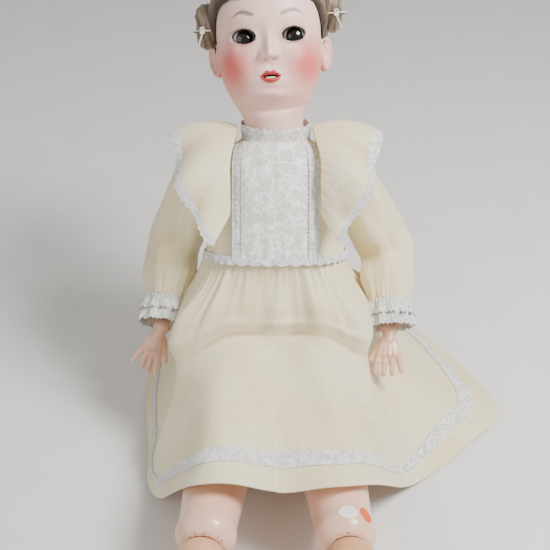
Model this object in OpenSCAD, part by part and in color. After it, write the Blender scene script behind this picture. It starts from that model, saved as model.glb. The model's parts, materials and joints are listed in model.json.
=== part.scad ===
// Bisque-headed ball-jointed doll in a cream dress, seated with the torso leaning back.
// Millimetres. The doll faces -Y, its own left side is +X, and Z = 0 is the surface it sits on.
// X = 0, Y = 0 lies under the middle of the two hip joints.

/* [Pose at rest] */
// Backward lean of the torso from upright
recline = 27; // [20:1:32]
// Sideways tilt of the head
head_roll = 3.4; // [0:0.2:6]
// Upward slope of the thighs from hip to knee
thigh_rise = 5; // [2:1:8]
// Outward yaw of the legs
leg_yaw = 5; // [3:1:8]

/* [Torso] */
// Height of the hip joint centres above the seat
hip_z = 46; // [44:1:58]
// Half distance between the hip joint centres
hip_x = 34; // [33:1:42]
// Height of the neck joint above the hip joints, along the torso
neck_z = 194; // [188:1:236]
// Height of the shoulder joints above the hip joints, along the torso
shoulder_z = 178; // [172:1:190]
// Half distance between the shoulder joint centres
shoulder_x = 58; // [57:1:70]

/* [Head] */
// Widest radius of the bisque head
head_r = 42; // [38:1:48]
// Height of the head above the neck joint
head_h = 137; // [130:1:150]
// Wall of the bisque shell
head_wall = 3.5; // [3:0.5:4.5]
// Radius of the round socket under the neck
neck_ball_r = 24; // [22:0.5:25]
// Radius of the glass eyes
eye_r = 10.5; // [9.5:0.5:11]
// Half distance between the eye centres
eye_x = 18.5; // [17:0.5:20]

/* [Arms] */
// Radius of the shoulder balls
shoulder_ball_r = 15; // [13:0.5:16]
// Length of the upper arm between joint centres
upper_arm_l = 80; // [64:1:96]
// Radius of the upper arm
upper_arm_r = 13; // [11:0.5:14]
// Radius of the elbow balls
elbow_ball_r = 12; // [10:0.5:13]
// Length of the forearm between joint centres
forearm_l = 70; // [58:1:86]
// Radius of the forearm at its middle
forearm_r = 11; // [10:0.5:12]
// Radius of the ball at the root of the hand
wrist_ball_r = 7.5; // [6.5:0.5:8.5]
// Length of the hand from the wrist joint to the finger tips
hand_l = 48; // [40:1:58]

/* [Legs] */
// Radius of the hip balls
hip_ball_r = 24; // [22:0.5:25]
// Length of the thigh between joint centres
thigh_l = 188; // [156:1:226]
// Largest radius of the thigh
thigh_r = 27; // [24:0.5:28]
// Radius of the knee balls
knee_ball_r = 19; // [17:0.5:20]
// Length from the knee joint to the heel's centre
shin_l = 148; // [124:1:178]
// Largest radius of the calf
calf_r = 20; // [18:0.5:21]
// Radius of the heel
heel_r = 17; // [14:0.5:18]
// Length of the foot from heel to toe
foot_l = 66; // [56:1:78]

/* [Dress] */
// Height of the waist seam above the hip joints, along the torso
waist_z = 114; // [108:1:120]
// Half width of the waist seam
waist_rx = 57; // [54:1:62]
// Half depth of the waist seam
waist_ry = 44; // [42:1:48]
// Thickness of a cloth layer
cloth = 1.2; // [0.8:0.2:1.6]
// Radius of the full sleeve at the elbow
sleeve_r = 22; // [20:0.5:25]
// Radius of the wrist cuff
cuff_r = 17; // [15:0.5:19]
// Width of the lace band near the hem
hem_lace_w = 10; // [6:1:14]

/* [Fits] */
// Gap between a ball and its socket
socket_gap = 0.3; // [0.2:0.05:0.6]
// Bore for the elastic cord through limbs and balls
cord_bore_r = 4; // [3.5:0.5:5]
// Radius of the elastic cord
cord_r = 1.8; // [1.5:0.1:2.2]
// Radius of the hook and pin wire
wire_r = 1.1; // [0.8:0.1:1.3]

/* [Hidden] */
$fn = 48;

eps = 0.01;
seat_t = 1.8;                 // cloth under the doll, folded double
floor_gap = 0.2;              // heels above the surface
cup_angle = 42;               // half angle of a limb's end around its ball
cup_lip = 1.2;                // wall at the rim of a cup
limb_bore_r = cord_bore_r + 0.5;

// Places ---------------------------------------------------------------------------------

// A direction from an azimuth (0 = -Y, 90 = +X) and an elevation
function heading(az, el) = [cos(el) * sin(az), -cos(el) * cos(az), sin(el)];
// A vector of the upright torso turned to the lean
function lean(v) = [v.x, v.y * cos(recline) + v.z * sin(recline),
                    -v.y * sin(recline) + v.z * cos(recline)];
function torso_pt(p) = [0, 0, hip_z] + lean(p);

function shoulder_pt(s) = torso_pt([s * shoulder_x, 0, shoulder_z]);
function upper_arm_dir(s) = lean(heading(s > 0 ? 135 : -145, -54));
function forearm_dir(s) = lean(heading(s > 0 ? 4 : -14, s > 0 ? -66 : -61.5));
function hand_dir(s) = lean(heading(s > 0 ? -7 : -46, -58));
function elbow_pt(s) = shoulder_pt(s) + upper_arm_l * upper_arm_dir(s);
function wrist_pt(s) = elbow_pt(s) + forearm_l * forearm_dir(s);

function hip_pt(s) = [s * hip_x, 0, hip_z];
function knee_pt(s) = hip_pt(s) + thigh_l * heading(s * leg_yaw, thigh_rise);
function shin_drop() = asin((knee_pt(1).z - heel_r - floor_gap) / shin_l);
function shin_dir(s) = heading(s * leg_yaw, -shin_drop());
// Where the arm elastic turns inside the chest, behind the neck spring
function chest_pt(s) = torso_pt([s * 28, 9, shoulder_z - 28]);
apex_z = neck_z - 68;         // where the leg elastic hangs on the neck spring
apex_pt = torso_pt([0, 0, apex_z]);

module in_torso() { translate([0, 0, hip_z]) rotate([-recline, 0, 0]) children(); }
module in_head() { in_torso() translate([0, 0, neck_z]) rotate([0, -head_roll, 0]) children(); }
// Children's +Z runs from p towards the direction d
module aim(p, d) {
    translate(p) rotate([0, acos(d.z / norm(d)), atan2(d.y, d.x)]) children();
}
module rod(p, q, r) { aim(p, q - p) cylinder(r = r, h = norm(q - p), $fn = 24); }

// Curves and cloth -----------------------------------------------------------------------

function unit(v) = v / norm(v);
function spline(a, b, c, d, f) = b + 0.5 * f * (c - a + f * (2 * a - 5 * b + 4 * c - d
    + f * (3 * (b - c) + d - a)));
// A closed smooth curve through the points of a list
function wrap(list, i) = list[(i + len(list)) % len(list)];
function through(list, u) = let (i = floor(u))
    spline(wrap(list, i - 1), wrap(list, i), wrap(list, i + 1), wrap(list, i + 2), u - i);
// An open smooth curve through the points of a list
function pick(list, i) = list[max(0, min(len(list) - 1, i))];
function along(list, u) = let (i = floor(u))
    spline(pick(list, i - 1), pick(list, i), pick(list, i + 1), pick(list, i + 2), u - i);
function quad(a, b, c, d) = [[a, b, c], [a, c, d]];

// A closed sheet of cloth between rings of outer points and rings of inner points
module double_wall(outer, inner) {
    rows = len(outer) - 1;
    n = len(outer[0]);
    inside = (rows + 1) * n;
    end = rows * n;
    polyhedron([for (r = concat(outer, inner)) each r], concat(
        [for (j = [0 : rows - 1]) for (i = [0 : n - 1]) let (k = (i + 1) % n, a = j * n, b = a + n)
            each concat(quad(a + i, b + i, b + k, a + k),
                        quad(inside + a + k, inside + b + k, inside + b + i, inside + a + i))],
        [for (i = [0 : n - 1]) let (k = (i + 1) % n)
            each concat(quad(i, k, inside + k, inside + i),
                        quad(end + k, end + i, inside + end + i, inside + end + k))]), convexity = 6);
}

// A cord of eight sides through a list of points, mitred where it bends
module cord_run(points, r) {
    n = 8;
    last = len(points) - 1;
    function step(i) = unit(points[i + 1] - points[i]);
    function cut(i) = i == 0 ? step(0) : i == last ? step(last - 1) : unit(step(i - 1) + step(i));
    function stretch(i) = i == 0 || i == last ? 1 : 1 / (step(i) * cut(i));
    side = unit(cross(step(0), [0.3, 1, 0.2]));
    rings = [for (i = [0 : last]) let (c = cut(i), a = unit(side - (side * c) * c), b = cross(a, c))
        [for (k = [0 : n - 1]) points[i] + r * stretch(i) * (cos(45 * k) * a + sin(45 * k) * b)]];
    polyhedron([for (ring = rings) each ring], concat(
        [for (i = [0 : last - 1]) for (k = [0 : n - 1]) let (m = (k + 1) % n)
            each quad(i * n + k, (i + 1) * n + k, (i + 1) * n + m, i * n + m)],
        [[for (k = [0 : n - 1]) k], [for (k = [n - 1 : -1 : 0]) last * n + k]]));
}

// Head -----------------------------------------------------------------------------------

eye_z = head_h - 51;
eye_y = -24.3;
mouth_z = eye_z - 30;
crown_z = head_h - 19;
neck_r = neck_ball_r - 1.5;
function skull_outline(g) = [
    [0, 8], [neck_r + g, 8], [neck_r + g, 30], [0.72 * head_r + g, eye_z - 44],
    [0.90 * head_r + g, mouth_z], [0.95 * head_r + g, mouth_z + 12], [0.97 * head_r + g, eye_z],
    [head_r + g, eye_z + 10], [0.975 * head_r + g, eye_z + 22], [0.86 * head_r + g, eye_z + 36],
    [0.57 * head_r + g, eye_z + 46.5 + g], [0, head_h + g]];
module skull(g) { rotate_extrude($fn = 64) polygon(skull_outline(g)); }
module at_eye(s) { translate([s * eye_x, eye_y, eye_z]) children(); }
module above_crown() { translate([-80, -80, crown_z]) cube([160, 160, 80]); }

module head_shell() {
    mouth_w = 10;
    mouth_h = 3.5;
    color("mistyrose") in_head() difference() {
        union() {
            skull(0);
            sphere(r = neck_ball_r);
            cylinder(r = neck_r, h = 9);
            translate([0, -24, mouth_z - 8]) sphere(r = 12);
            translate([0, -0.97 * head_r - 1, mouth_z + 15]) sphere(r = 4.5, $fn = 24);
            for (s = [-1, 1]) translate([s * 0.97 * head_r, 3, eye_z - 14]) sphere(r = 7, $fn = 24);
        }
        skull(-head_wall);
        sphere(r = neck_ball_r - head_wall);
        cylinder(r = neck_r - head_wall, h = 20);
        translate([0, 0, -neck_ball_r - 1]) cylinder(r = 9, h = 12);
        above_crown();
        for (s = [-1, 1]) at_eye(s) {
            sphere(r = eye_r + 0.5);
            for (x = [-3, 3]) translate([x, 0, 0]) rotate([90, 0, 0]) cylinder(r = 6, h = 30);
            translate([-3, -30, -6]) cube([6, 30, 12]);
        }
        translate([-mouth_w / 2, -60, mouth_z - 1.7]) cube([mouth_w, 40, mouth_h]);
    }
}

module crown_pate() {
    color("burlywood") in_head() difference() {
        intersection() {
            skull(0);
            translate([0, 0, 0.2]) above_crown();
        }
        skull(-2.5);
    }
}

// The hair covers the head above a line that rises from the nape to the forehead
module hair_region() {
    translate([0, 0, eye_z + 2]) rotate([-52, 0, 0]) translate([-90, -90, 0]) cube([180, 180, 120]);
}

module wig_cap() {
    color("saddlebrown") in_head() intersection() {
        difference() {
            skull(4.5);
            skull(0.3);
        }
        hair_region();
        translate([-90, -90, eye_z - 24]) cube([180, 180, 120]);
    }
}

coil_r = 9.5;
coil_tube_r = 7.5;
function coil_pt(s) = [s * (head_r + 5), 6, eye_z + (s > 0 ? 16 : 8)];
module wig_coil(s) {
    color("sienna") in_head() difference() {
        translate(coil_pt(s)) rotate([0, 90, 0]) rotate_extrude() translate([coil_r, 0])
            circle(r = coil_tube_r, $fn = 24);
        skull(4.8);
    }
}

// A thin cord round the coil with two small bow loops in front
module hair_tie(s) {
    color("ivory") in_head() difference() {
        translate(coil_pt(s) + [0, -coil_r, 0]) rotate_extrude() translate([coil_tube_r + 1.3, 0])
            circle(r = 0.8, $fn = 16);
        skull(4.8);
    }
    color("ivory") in_head() translate(coil_pt(s) + [0, -coil_r, 0]) {
        for (z = [-1, 1]) translate([s * (coil_tube_r + 2.5), -2, z * 3.2])
            rotate([90, 0, 0]) cylinder(r = 3, h = 1.2, $fn = 24);
        translate([s * (coil_tube_r + 1.8), -3, -0.5]) rotate([0, 90, 0]) cylinder(r = 1.4, h = 1.4);
        translate([s * (coil_tube_r + 1.2), -3.2, -14]) cube([1.6, 0.8, 14]);
    }
}

module teeth() {
    tooth_w = 1.7;
    color("white") in_head() for (i = [-2 : 1])
        translate([i * tooth_w, -0.9 * head_r + 1, mouth_z + 0.5]) cube([tooth_w - 0.1, 2, 1.3]);
}

module eye_bearing(s) {
    color("gainsboro") in_head() difference() {
        intersection() {
            translate([s * 27, -14, eye_z]) sphere(r = 8, $fn = 32);
            skull(-head_wall - 0.2);
        }
        at_eye(s) sphere(r = eye_r + 0.4);
    }
}

module eye(s) {
    color("dimgray") in_head() at_eye(s) difference() {
        sphere(r = eye_r);
        sphere(r = eye_r - 1.4);
        rotate([0, 90, 0]) cylinder(r = wire_r + 0.1, h = 3 * eye_r, center = true);
        rotate([-90, 0, 0]) cylinder(r = 3.5, h = 2 * eye_r);
    }
}

weight_pt = [0, -29, eye_z - 18];
module eye_rocker() {
    color("silver") in_head() {
        translate([0, eye_y, eye_z]) rotate([0, 90, 0])
            cylinder(r = wire_r, h = 2 * (eye_x + eye_r) - 3, center = true, $fn = 24);
        rod([0, eye_y, eye_z], weight_pt, wire_r);
    }
}

module eye_weight() {
    color("slategray") in_head() translate(weight_pt) rotate([0, 90, 0])
        cylinder(r = 4.5, h = 12, center = true);
}

// Neck and torso -------------------------------------------------------------------------

module neck_plug() {
    plug_r = neck_ball_r - head_wall - 0.2;
    color("tan") in_head() difference() {
        intersection() {
            sphere(r = plug_r);
            translate([0, 0, -plug_r]) cylinder(r = plug_r, h = 7);
        }
        translate([0, 0, -30]) cylinder(r = wire_r + 0.1, h = 40, $fn = 24);
    }
}

module neck_hook() {
    color("silver") in_head() {
        translate([0, 0, -28]) cylinder(r = wire_r, h = 17, $fn = 24);
        translate([0, 0, -12.8]) cylinder(r = 4, h = 1.8, $fn = 24);
        translate([0, 0, -31]) rotate([90, 0, 0]) rotate_extrude($fn = 32) translate([3.2, 0])
            circle(r = wire_r, $fn = 16);
    }
}

module neck_spring() {
    turns = 9;
    pitch = 2.6;
    top = neck_z - 37;
    color("silver") in_torso() translate([0, 0, top - turns * pitch]) rotate_extrude($fn = 32) polygon(concat(
        [[3, 0]], [for (i = [0 : turns - 1]) each [[4.4, i * pitch + 0.1], [5.4, (i + 0.5) * pitch]]],
        [[4.4, turns * pitch], [3, turns * pitch]]));
}

torso_rings = [[-39, 30, 20], [-20, 52, 34], [10, 58, 38], [75, 40, 32], [125, 44, 35],
               [shoulder_z - 13, 46, 36], [shoulder_z + 4, 45, 30], [neck_z - 6, 31, 27]];
module oval(z, rx, ry, h = 0.4) {
    translate([0, 0, z - h / 2]) linear_extrude(h) union() {
        for (s = [-1, 1]) translate([s * (rx - ry), 0]) circle(r = ry, $fn = 28);
        square([2 * (rx - ry), 2 * ry], center = true);
    }
}

// The room a thigh sweeps from hanging straight down to sitting square
module thigh_sweep(s) {
    r = thigh_r + 1;
    reach = 130;
    // the outer side is left open for the spread of the leg
    fan = [[0, 0], [r * 0.9, r + 40], [reach, r + 40], [reach, -r], [r * 0.9, -r]];
    translate([s * hip_x, 0, 0]) mirror([s > 0 ? 0 : 1, 0, 0]) rotate([0, 90, 0])
        rotate([0, 0, 44]) rotate_extrude(angle = -178) polygon(fan);
}

module torso_shell() {
    color("navajowhite") in_torso() difference() {
        for (i = [0 : len(torso_rings) - 2]) hull() {
            oval(torso_rings[i][0], torso_rings[i][1], torso_rings[i][2]);
            oval(torso_rings[i + 1][0], torso_rings[i + 1][1], torso_rings[i + 1][2]);
        }
        translate([0, 0, neck_z]) sphere(r = neck_ball_r + socket_gap);
        translate([0, 0, neck_z - 50]) cylinder(r = 14, h = 40);
        for (s = [-1, 1]) {
            translate([s * 10, 0, 34]) cylinder(r = 26, h = shoulder_z - 56);
            translate([s * shoulder_x, 0, shoulder_z]) sphere(r = shoulder_ball_r + socket_gap);
            translate([s * hip_x, 0, 0]) sphere(r = hip_ball_r + socket_gap);
            rod([s * hip_x, 0, 0], [0, 0, apex_z], cord_bore_r + 1);
            rod([s * shoulder_x, 0, shoulder_z], [s * 28, 9, shoulder_z - 28], cord_bore_r + 1);
            thigh_sweep(s);
        }
    }
}

module arm_elastic() {
    color("ivory") cord_run([wrist_pt(1) - 2.2 * forearm_dir(1), elbow_pt(1), shoulder_pt(1),
        chest_pt(1), chest_pt(-1), shoulder_pt(-1), elbow_pt(-1),
        wrist_pt(-1) - 2.2 * forearm_dir(-1)], cord_r);
}

leg_pin_d = 34;
module leg_elastic() {
    color("ivory") cord_run([knee_pt(1) + (leg_pin_d - 2) * shin_dir(1), knee_pt(1), hip_pt(1),
        apex_pt, hip_pt(-1), knee_pt(-1), knee_pt(-1) + (leg_pin_d - 2) * shin_dir(-1)], cord_r);
}

// Limbs ----------------------------------------------------------------------------------

// A drilled ball with one bore towards each neighbour, turned so the bores run round its equator
module drilled_ball(p, r, dirs) {
    pole = cross(dirs[0], dirs[1]);
    lean_a = acos(pole.z / norm(pole));
    turn_a = atan2(pole.y, pole.x);
    away = -dirs[0] - dirs[1];
    ex = [cos(lean_a) * cos(turn_a), cos(lean_a) * sin(turn_a), -sin(lean_a)];
    ey = [-sin(turn_a), cos(turn_a), 0];
    difference() {
        aim(p, pole) rotate([0, 0, atan2(away * ey, away * ex)]) sphere(r = r);
        rod(p - 4.5 * dirs[0], p + 2 * r * dirs[0], cord_bore_r + 0.7);
        rod(p - 4 * dirs[1], p + 2 * r * dirs[1], cord_bore_r);
    }
}

// A turned limb from one ball's centre to the next, with a cup at each end.
// swell lists [share of the length, radius] along the limb.
module limb(length, ball_a, ball_b, swell) {
    a = [ball_a * sin(cup_angle) + cup_lip, ball_a * cos(cup_angle)];
    b = [ball_b * sin(cup_angle) + cup_lip, length - ball_b * cos(cup_angle)];
    difference() {
        rotate_extrude() polygon(concat([[limb_bore_r, a.y], a],
            [for (w = swell) [w[1], w[0] * length]], [b, [limb_bore_r, b.y]]));
        sphere(r = ball_a + socket_gap);
        translate([0, 0, length]) sphere(r = ball_b + socket_gap);
    }
}

module shoulder_ball(s) {
    color("peachpuff") drilled_ball(shoulder_pt(s), shoulder_ball_r,
        [unit(chest_pt(s) - shoulder_pt(s)), upper_arm_dir(s)]);
}

module upper_arm(s) {
    color("peachpuff") aim(shoulder_pt(s), upper_arm_dir(s))
        limb(upper_arm_l, shoulder_ball_r, elbow_ball_r,
             [[0.18, upper_arm_r - 1], [0.4, upper_arm_r], [0.7, upper_arm_r - 1.4],
              [0.83, upper_arm_r - 1.2]]);
}

module elbow_ball(s) {
    color("sandybrown") drilled_ball(elbow_pt(s), elbow_ball_r, [-upper_arm_dir(s), forearm_dir(s)]);
}

module forearm(s) {
    color("peachpuff") aim(elbow_pt(s), forearm_dir(s))
        limb(forearm_l, elbow_ball_r, wrist_ball_r,
             [[0.19, forearm_r + 0.3], [0.4, forearm_r], [0.65, forearm_r - 1.8], [0.86, 8]]);
}

// Fingers point along +Z and lie side by side along Y
module hand(s) {
    palm_l = 0.46 * hand_l;
    finger_l = hand_l - palm_l;
    finger_r = 2.5;
    color("peachpuff") difference() {
        aim(wrist_pt(s), hand_dir(s)) union() {
            sphere(r = wrist_ball_r);
            hull() {
                translate([0, 0, 7]) sphere(r = 5.5, $fn = 24);
                for (y = [-1, 1]) translate([0, 7 * y, palm_l]) sphere(r = 3.8, $fn = 24);
            }
            for (i = [0 : 3]) {
                y = (i - 1.5) * 5.2;
                tip = [0.1 * finger_l, 1.15 * y, palm_l + finger_l * (1 - 0.05 * abs(i - 1.2)) - finger_r];
                rod([0, y, palm_l - 2], tip, finger_r);
                translate(tip) sphere(r = finger_r + 0.15, $fn = 24);
            }
            thumb_tip = [2, -s * 14, palm_l + 3];
            rod([0, -s * 4, 9], thumb_tip, finger_r + 0.2);
            translate(thumb_tip) sphere(r = finger_r + 0.35, $fn = 24);
        }
        rod(wrist_pt(s) + 2 * forearm_dir(s), wrist_pt(s) - 12 * forearm_dir(s), 3);
        wrist_pin_at(s, wire_r + 0.05);
    }
}

module wrist_pin_at(s, r) {
    aim(wrist_pt(s), hand_dir(s)) rotate([90, 0, 0])
        cylinder(r = r, h = 2 * wrist_ball_r - 1, center = true, $fn = 24);
}

module wrist_pin(s) {
    color("silver") wrist_pin_at(s, wire_r);
}

module hip_ball(s) {
    color("sandybrown") drilled_ball(hip_pt(s), hip_ball_r,
        [(apex_pt - hip_pt(s)) / norm(apex_pt - hip_pt(s)), heading(s * leg_yaw, thigh_rise)]);
}

module thigh(s) {
    color("mistyrose") aim(hip_pt(s), heading(s * leg_yaw, thigh_rise))
        limb(thigh_l, hip_ball_r, knee_ball_r,
             [[0.145, 0.84 * thigh_r], [0.22, thigh_r], [0.36, 0.97 * thigh_r], [0.6, 0.86 * thigh_r],
              [0.8, 0.76 * thigh_r], [0.885, 0.74 * thigh_r]]);
}

module knee_ball(s) {
    color("sandybrown") drilled_ball(knee_pt(s), knee_ball_r,
        [-heading(s * leg_yaw, thigh_rise), shin_dir(s)]);
}

module lower_leg(s) {
    a = [knee_ball_r * sin(cup_angle) + cup_lip, knee_ball_r * cos(cup_angle)];
    color("mistyrose") aim(knee_pt(s), shin_dir(s)) difference() {
        union() {
            rotate_extrude() polygon([[0, a.y], a, [0.9 * calf_r, 0.14 * shin_l], [calf_r, 0.3 * shin_l],
                [0.93 * calf_r, 0.5 * shin_l], [0.68 * calf_r, 0.8 * shin_l],
                [0.7 * calf_r, 0.95 * shin_l], [0, shin_l]]);
            translate([0, 0, shin_l]) sphere(r = heel_r - 3);
            // local -X points up at rest, so the toes do too
            hull() {
                translate([1, 0, shin_l + 1]) sphere(r = heel_r - 4, $fn = 24);
                translate([-foot_l + heel_r + 9, 0, shin_l + 5]) sphere(r = 9, $fn = 24);
            }
            translate([heel_r - 9, 0, shin_l]) sphere(r = 8.5, $fn = 32);
        }
        sphere(r = knee_ball_r + socket_gap);
        cylinder(r = limb_bore_r, h = leg_pin_d + 6);
        translate([0, 0, leg_pin_d]) rotate([90, 0, 0])
            cylinder(r = wire_r + 0.05, h = 3 * calf_r, center = true, $fn = 24);
    }
}

module leg_pin(s) {
    color("silver") aim(knee_pt(s), shin_dir(s)) translate([0, 0, leg_pin_d]) rotate([90, 0, 0])
        cylinder(r = wire_r, h = 1.7 * calf_r, center = true, $fn = 24);
}

// Dress ----------------------------------------------------------------------------------

collar_r = neck_ball_r + 2.2;
chest_z = shoulder_z - 13;
collar_z = neck_z + 3;
module bodice_form(g) {
    rings = [[waist_z, waist_rx, waist_ry], [chest_z, waist_rx - 8, waist_ry - 3],
             [shoulder_z + 6, waist_rx - 9, waist_ry - 9], [collar_z, collar_r + 2.4, collar_r + 2.3]];
    for (i = [0 : 2]) hull() for (r = [rings[i], rings[i + 1]]) oval(r.x, r.y + g, r.z + g);
}

module bodice() {
    color("cornsilk") in_torso() difference() {
        bodice_form(0);
        translate([0, 0, -eps]) bodice_form(-cloth);
        translate([0, 0, waist_z - 1]) oval(0, waist_rx - cloth, waist_ry - cloth, 3);
        translate([0, 0, collar_z - 6]) cylinder(r = collar_r, h = 12);
        for (s = [-1, 1]) translate([s * shoulder_x, 0, shoulder_z])
            sphere(r = shoulder_ball_r + 9);
    }
}

module yoke_lace() {
    color("white") in_torso() intersection() {
        difference() {
            bodice_form(cloth);
            bodice_form(0.2);
        }
        translate([-34, -80, waist_z + 4]) cube([68, 70, neck_z - waist_z - 8]);
    }
}

module neckband() {
    color("white") in_torso() translate([0, 0, collar_z + 0.3]) difference() {
        cylinder(r = collar_r + 1, h = 13);
        translate([0, 0, -1]) cylinder(r = collar_r, h = 20);
    }
}

module back_buttons() {
    color("white") in_torso() for (i = [0 : 2]) {
        z = waist_z + 10 + 16 * i;
        y = waist_ry - 3 * (z - waist_z) / (chest_z - waist_z) + 0.3;
        translate([0, y, z]) rotate([-90, 0, 0]) cylinder(r = 4, h = 1.8, $fn = 32);
    }
}

// A flared cape over each shoulder, open towards the neck
module bertha(s) {
    drop = 56;
    top_r = 23;
    low_r = 60;
    color("ivory") in_torso() difference() {
        translate([s * 38, 0, shoulder_z - 20]) difference() {
            cylinder(r1 = low_r, r2 = top_r, h = drop);
            translate([0, 0, -eps]) cylinder(r1 = low_r - cloth, r2 = top_r - cloth, h = drop + 1);
        }
        translate([s > 0 ? -60 : -40, -80, 0]) cube([100, 160, 260]);
    }
}

// A circle of points square to n, which starts at the doll's front
sleeve_sides = 20;
function ring(c, n, r) = let (front = lean([0, -1, 0]), a = unit(front - (front * n) * n), b = cross(a, n))
    [for (i = [0 : sleeve_sides - 1]) let (t = 360 * i / sleeve_sides) c + r * (cos(t) * a + sin(t) * b)];
// A ring with its armpit side at a and its outer side at b
function hoop(a, b, g) = let (c = (a + b) / 2, y = lean([0, -1, 0]))
    ring(c, unit(cross(b - a, y) * ((cross(b - a, y)).x * c.x > 0 ? 1 : -1)), norm(b - a) / 2 + g);
// A full sleeve from the shoulder over the elbow to the cuff, as rings from top to bottom
function sleeve_rings(s, g) = let (p = shoulder_pt(s), e = elbow_pt(s), u = upper_arm_dir(s),
        f = forearm_dir(s), x = [s, 0, 0], w = unit(u - (u * x) * x), steps = 14,
        in = unit((u * x) * u - x), hug = upper_arm_r - 1 + 2 * cloth,
        b = shoulder_ball_r,
        keys = [hoop(p - 7 * x + (b + 3) * w, p - 7 * x - (b + 3) * w, g),
                hoop(p + 16 * u + hug * in, p + (b - 1) * x - (b - 1.5) * w, g),
                hoop(p + 26 * u + (hug + cloth) * in, p + (b + 7) * x + 4 * w, g),
                ring(p + 0.55 * upper_arm_l * u, u, sleeve_r - 1 + g), ring(e, unit(u + f), sleeve_r + g),
                ring(e + 0.35 * forearm_l * f, f, sleeve_r - 2 + g), ring(e + (forearm_l - 24) * f, f, cuff_r + g)])
    [for (j = [0 : steps]) [for (i = [0 : sleeve_sides - 1])
        along([for (k = keys) k[i]], j * (len(keys) - 1) / steps)]];

module sleeve(s) {
    color("cornsilk") double_wall(sleeve_rings(s, 0), sleeve_rings(s, -cloth));
}

module cuff(s) {
    color("white") aim(elbow_pt(s), forearm_dir(s)) translate([0, 0, forearm_l - 23.6]) difference() {
        cylinder(r1 = cuff_r, r2 = cuff_r + 4, h = 20);
        translate([0, 0, -eps]) cylinder(r1 = cuff_r - cloth, r2 = cuff_r + 4 - cloth, h = 21);
    }
}

// The skirt runs from the waist seam over the lap to the hem. One path leaves the seam in
// each of these directions, from the front round by the doll's left side: the place of its
// middle over the lap or hip, and its end at the hem.
skirt_mid = [[0, -28, 93], [42, -32, 95], [78, -22, 60], [80, 14, 52], [92, 42, 52], [86, 82, 52],
             [50, 114, 50], [0, 124, 48], [-50, 114, 50], [-80, 82, 50], [-82, 45, 48],
             [-80, 6, 50], [-81, -32, 58], [-44, -36, 98]];
skirt_end = [[2, -138, 82], [58, -137, 86], [108, -72, 12], [160, -22, 3.4], [192, 24, 3.4],
             [140, 112, 3.4], [70, 150, 3.4], [0, 152, 3.4], [-60, 148, 3.4], [-104, 108, 3.4],
             [-114, 50, 3.4], [-106, -20, 3.4], [-95, -84, 12], [-55, -138, 88]];
skirt_n = len(skirt_mid);
around = 4 * skirt_n;         // points round each ring
down = 10;                    // rows from waist to hem

function waist_pt(u) = let (t = 360 * u / skirt_n)
    torso_pt([(waist_rx + 0.2) * sin(t), -(waist_ry + 0.2) * cos(t), waist_z - 1.6]);
function skirt_pt(u, v) = let (w = waist_pt(u), h = through(skirt_end, u),
    m = 2 * through(skirt_mid, u) - 0.5 * (w + h))
    pow(1 - v, 2) * w + 2 * v * (1 - v) * m + v * v * h;
function skirt_out(u, v) = let (d = 0.02) unit(cross(skirt_pt(u, v + d) - skirt_pt(u, v - d),
    skirt_pt(u + d, v) - skirt_pt(u - d, v)));
// Rings of points from one share of the way to the hem to another, lifted by h
function skirt_rings(v0, v1, h, rows) = [for (j = [0 : rows]) [for (i = [0 : around - 1])
    let (u = i * skirt_n / around, v = v0 + (v1 - v0) * j / rows) skirt_pt(u, v) + h * skirt_out(u, v)]];

module skirt() {
    color("cornsilk") double_wall(skirt_rings(0, 1, 0, down), skirt_rings(0, 1, -cloth, down));
}

module hem_lace() {
    band = hem_lace_w / 200;
    color("white") double_wall(skirt_rings(0.86, 0.86 + band, 1.4, 1),
                               skirt_rings(0.86, 0.86 + band, 0.8, 1));
}

// The back of the skirt spread flat under the doll
module skirt_seat() {
    color("cornsilk") linear_extrude(seat_t) polygon([for (u = [0 : 0.5 : skirt_n - 0.5])
        let (p = through(skirt_end, u)) [0.78 * p.x, max(0.78 * p.y, -60) + 4]]);
}

head_shell();
crown_pate();
wig_cap();
wig_coil(1);  // wig_coil_left
wig_coil(-1);  // wig_coil_right
hair_tie(1);  // hair_tie_left
hair_tie(-1);  // hair_tie_right
teeth();
eye_bearing(1);  // eye_bearing_left
eye_bearing(-1);  // eye_bearing_right
eye(1);  // eye_left
eye(-1);  // eye_right
eye_rocker();
eye_weight();
neck_plug();
neck_hook();
neck_spring();
torso_shell();
arm_elastic();
leg_elastic();
shoulder_ball(1);  // shoulder_ball_left
upper_arm(1);  // upper_arm_left
elbow_ball(1);  // elbow_ball_left
forearm(1);  // forearm_left
hand(1);  // hand_left
wrist_pin(1);  // wrist_pin_left
shoulder_ball(-1);  // shoulder_ball_right
upper_arm(-1);  // upper_arm_right
elbow_ball(-1);  // elbow_ball_right
forearm(-1);  // forearm_right
hand(-1);  // hand_right
wrist_pin(-1);  // wrist_pin_right
hip_ball(1);  // hip_ball_left
thigh(1);  // thigh_left
knee_ball(1);  // knee_ball_left
lower_leg(1);  // lower_leg_left
leg_pin(1);  // leg_pin_left
hip_ball(-1);  // hip_ball_right
thigh(-1);  // thigh_right
knee_ball(-1);  // knee_ball_right
lower_leg(-1);  // lower_leg_right
leg_pin(-1);  // leg_pin_right
bodice();
yoke_lace();
neckband();
back_buttons();
bertha(1);  // bertha_left
bertha(-1);  // bertha_right
sleeve(1);  // sleeve_left
sleeve(-1);  // sleeve_right
cuff(1);  // cuff_left
cuff(-1);  // cuff_right
skirt();
skirt_seat();
hem_lace();
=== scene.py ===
"""A bisque-headed, ball-jointed doll in an old cream silk dress, seated and leaning back."""

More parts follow.
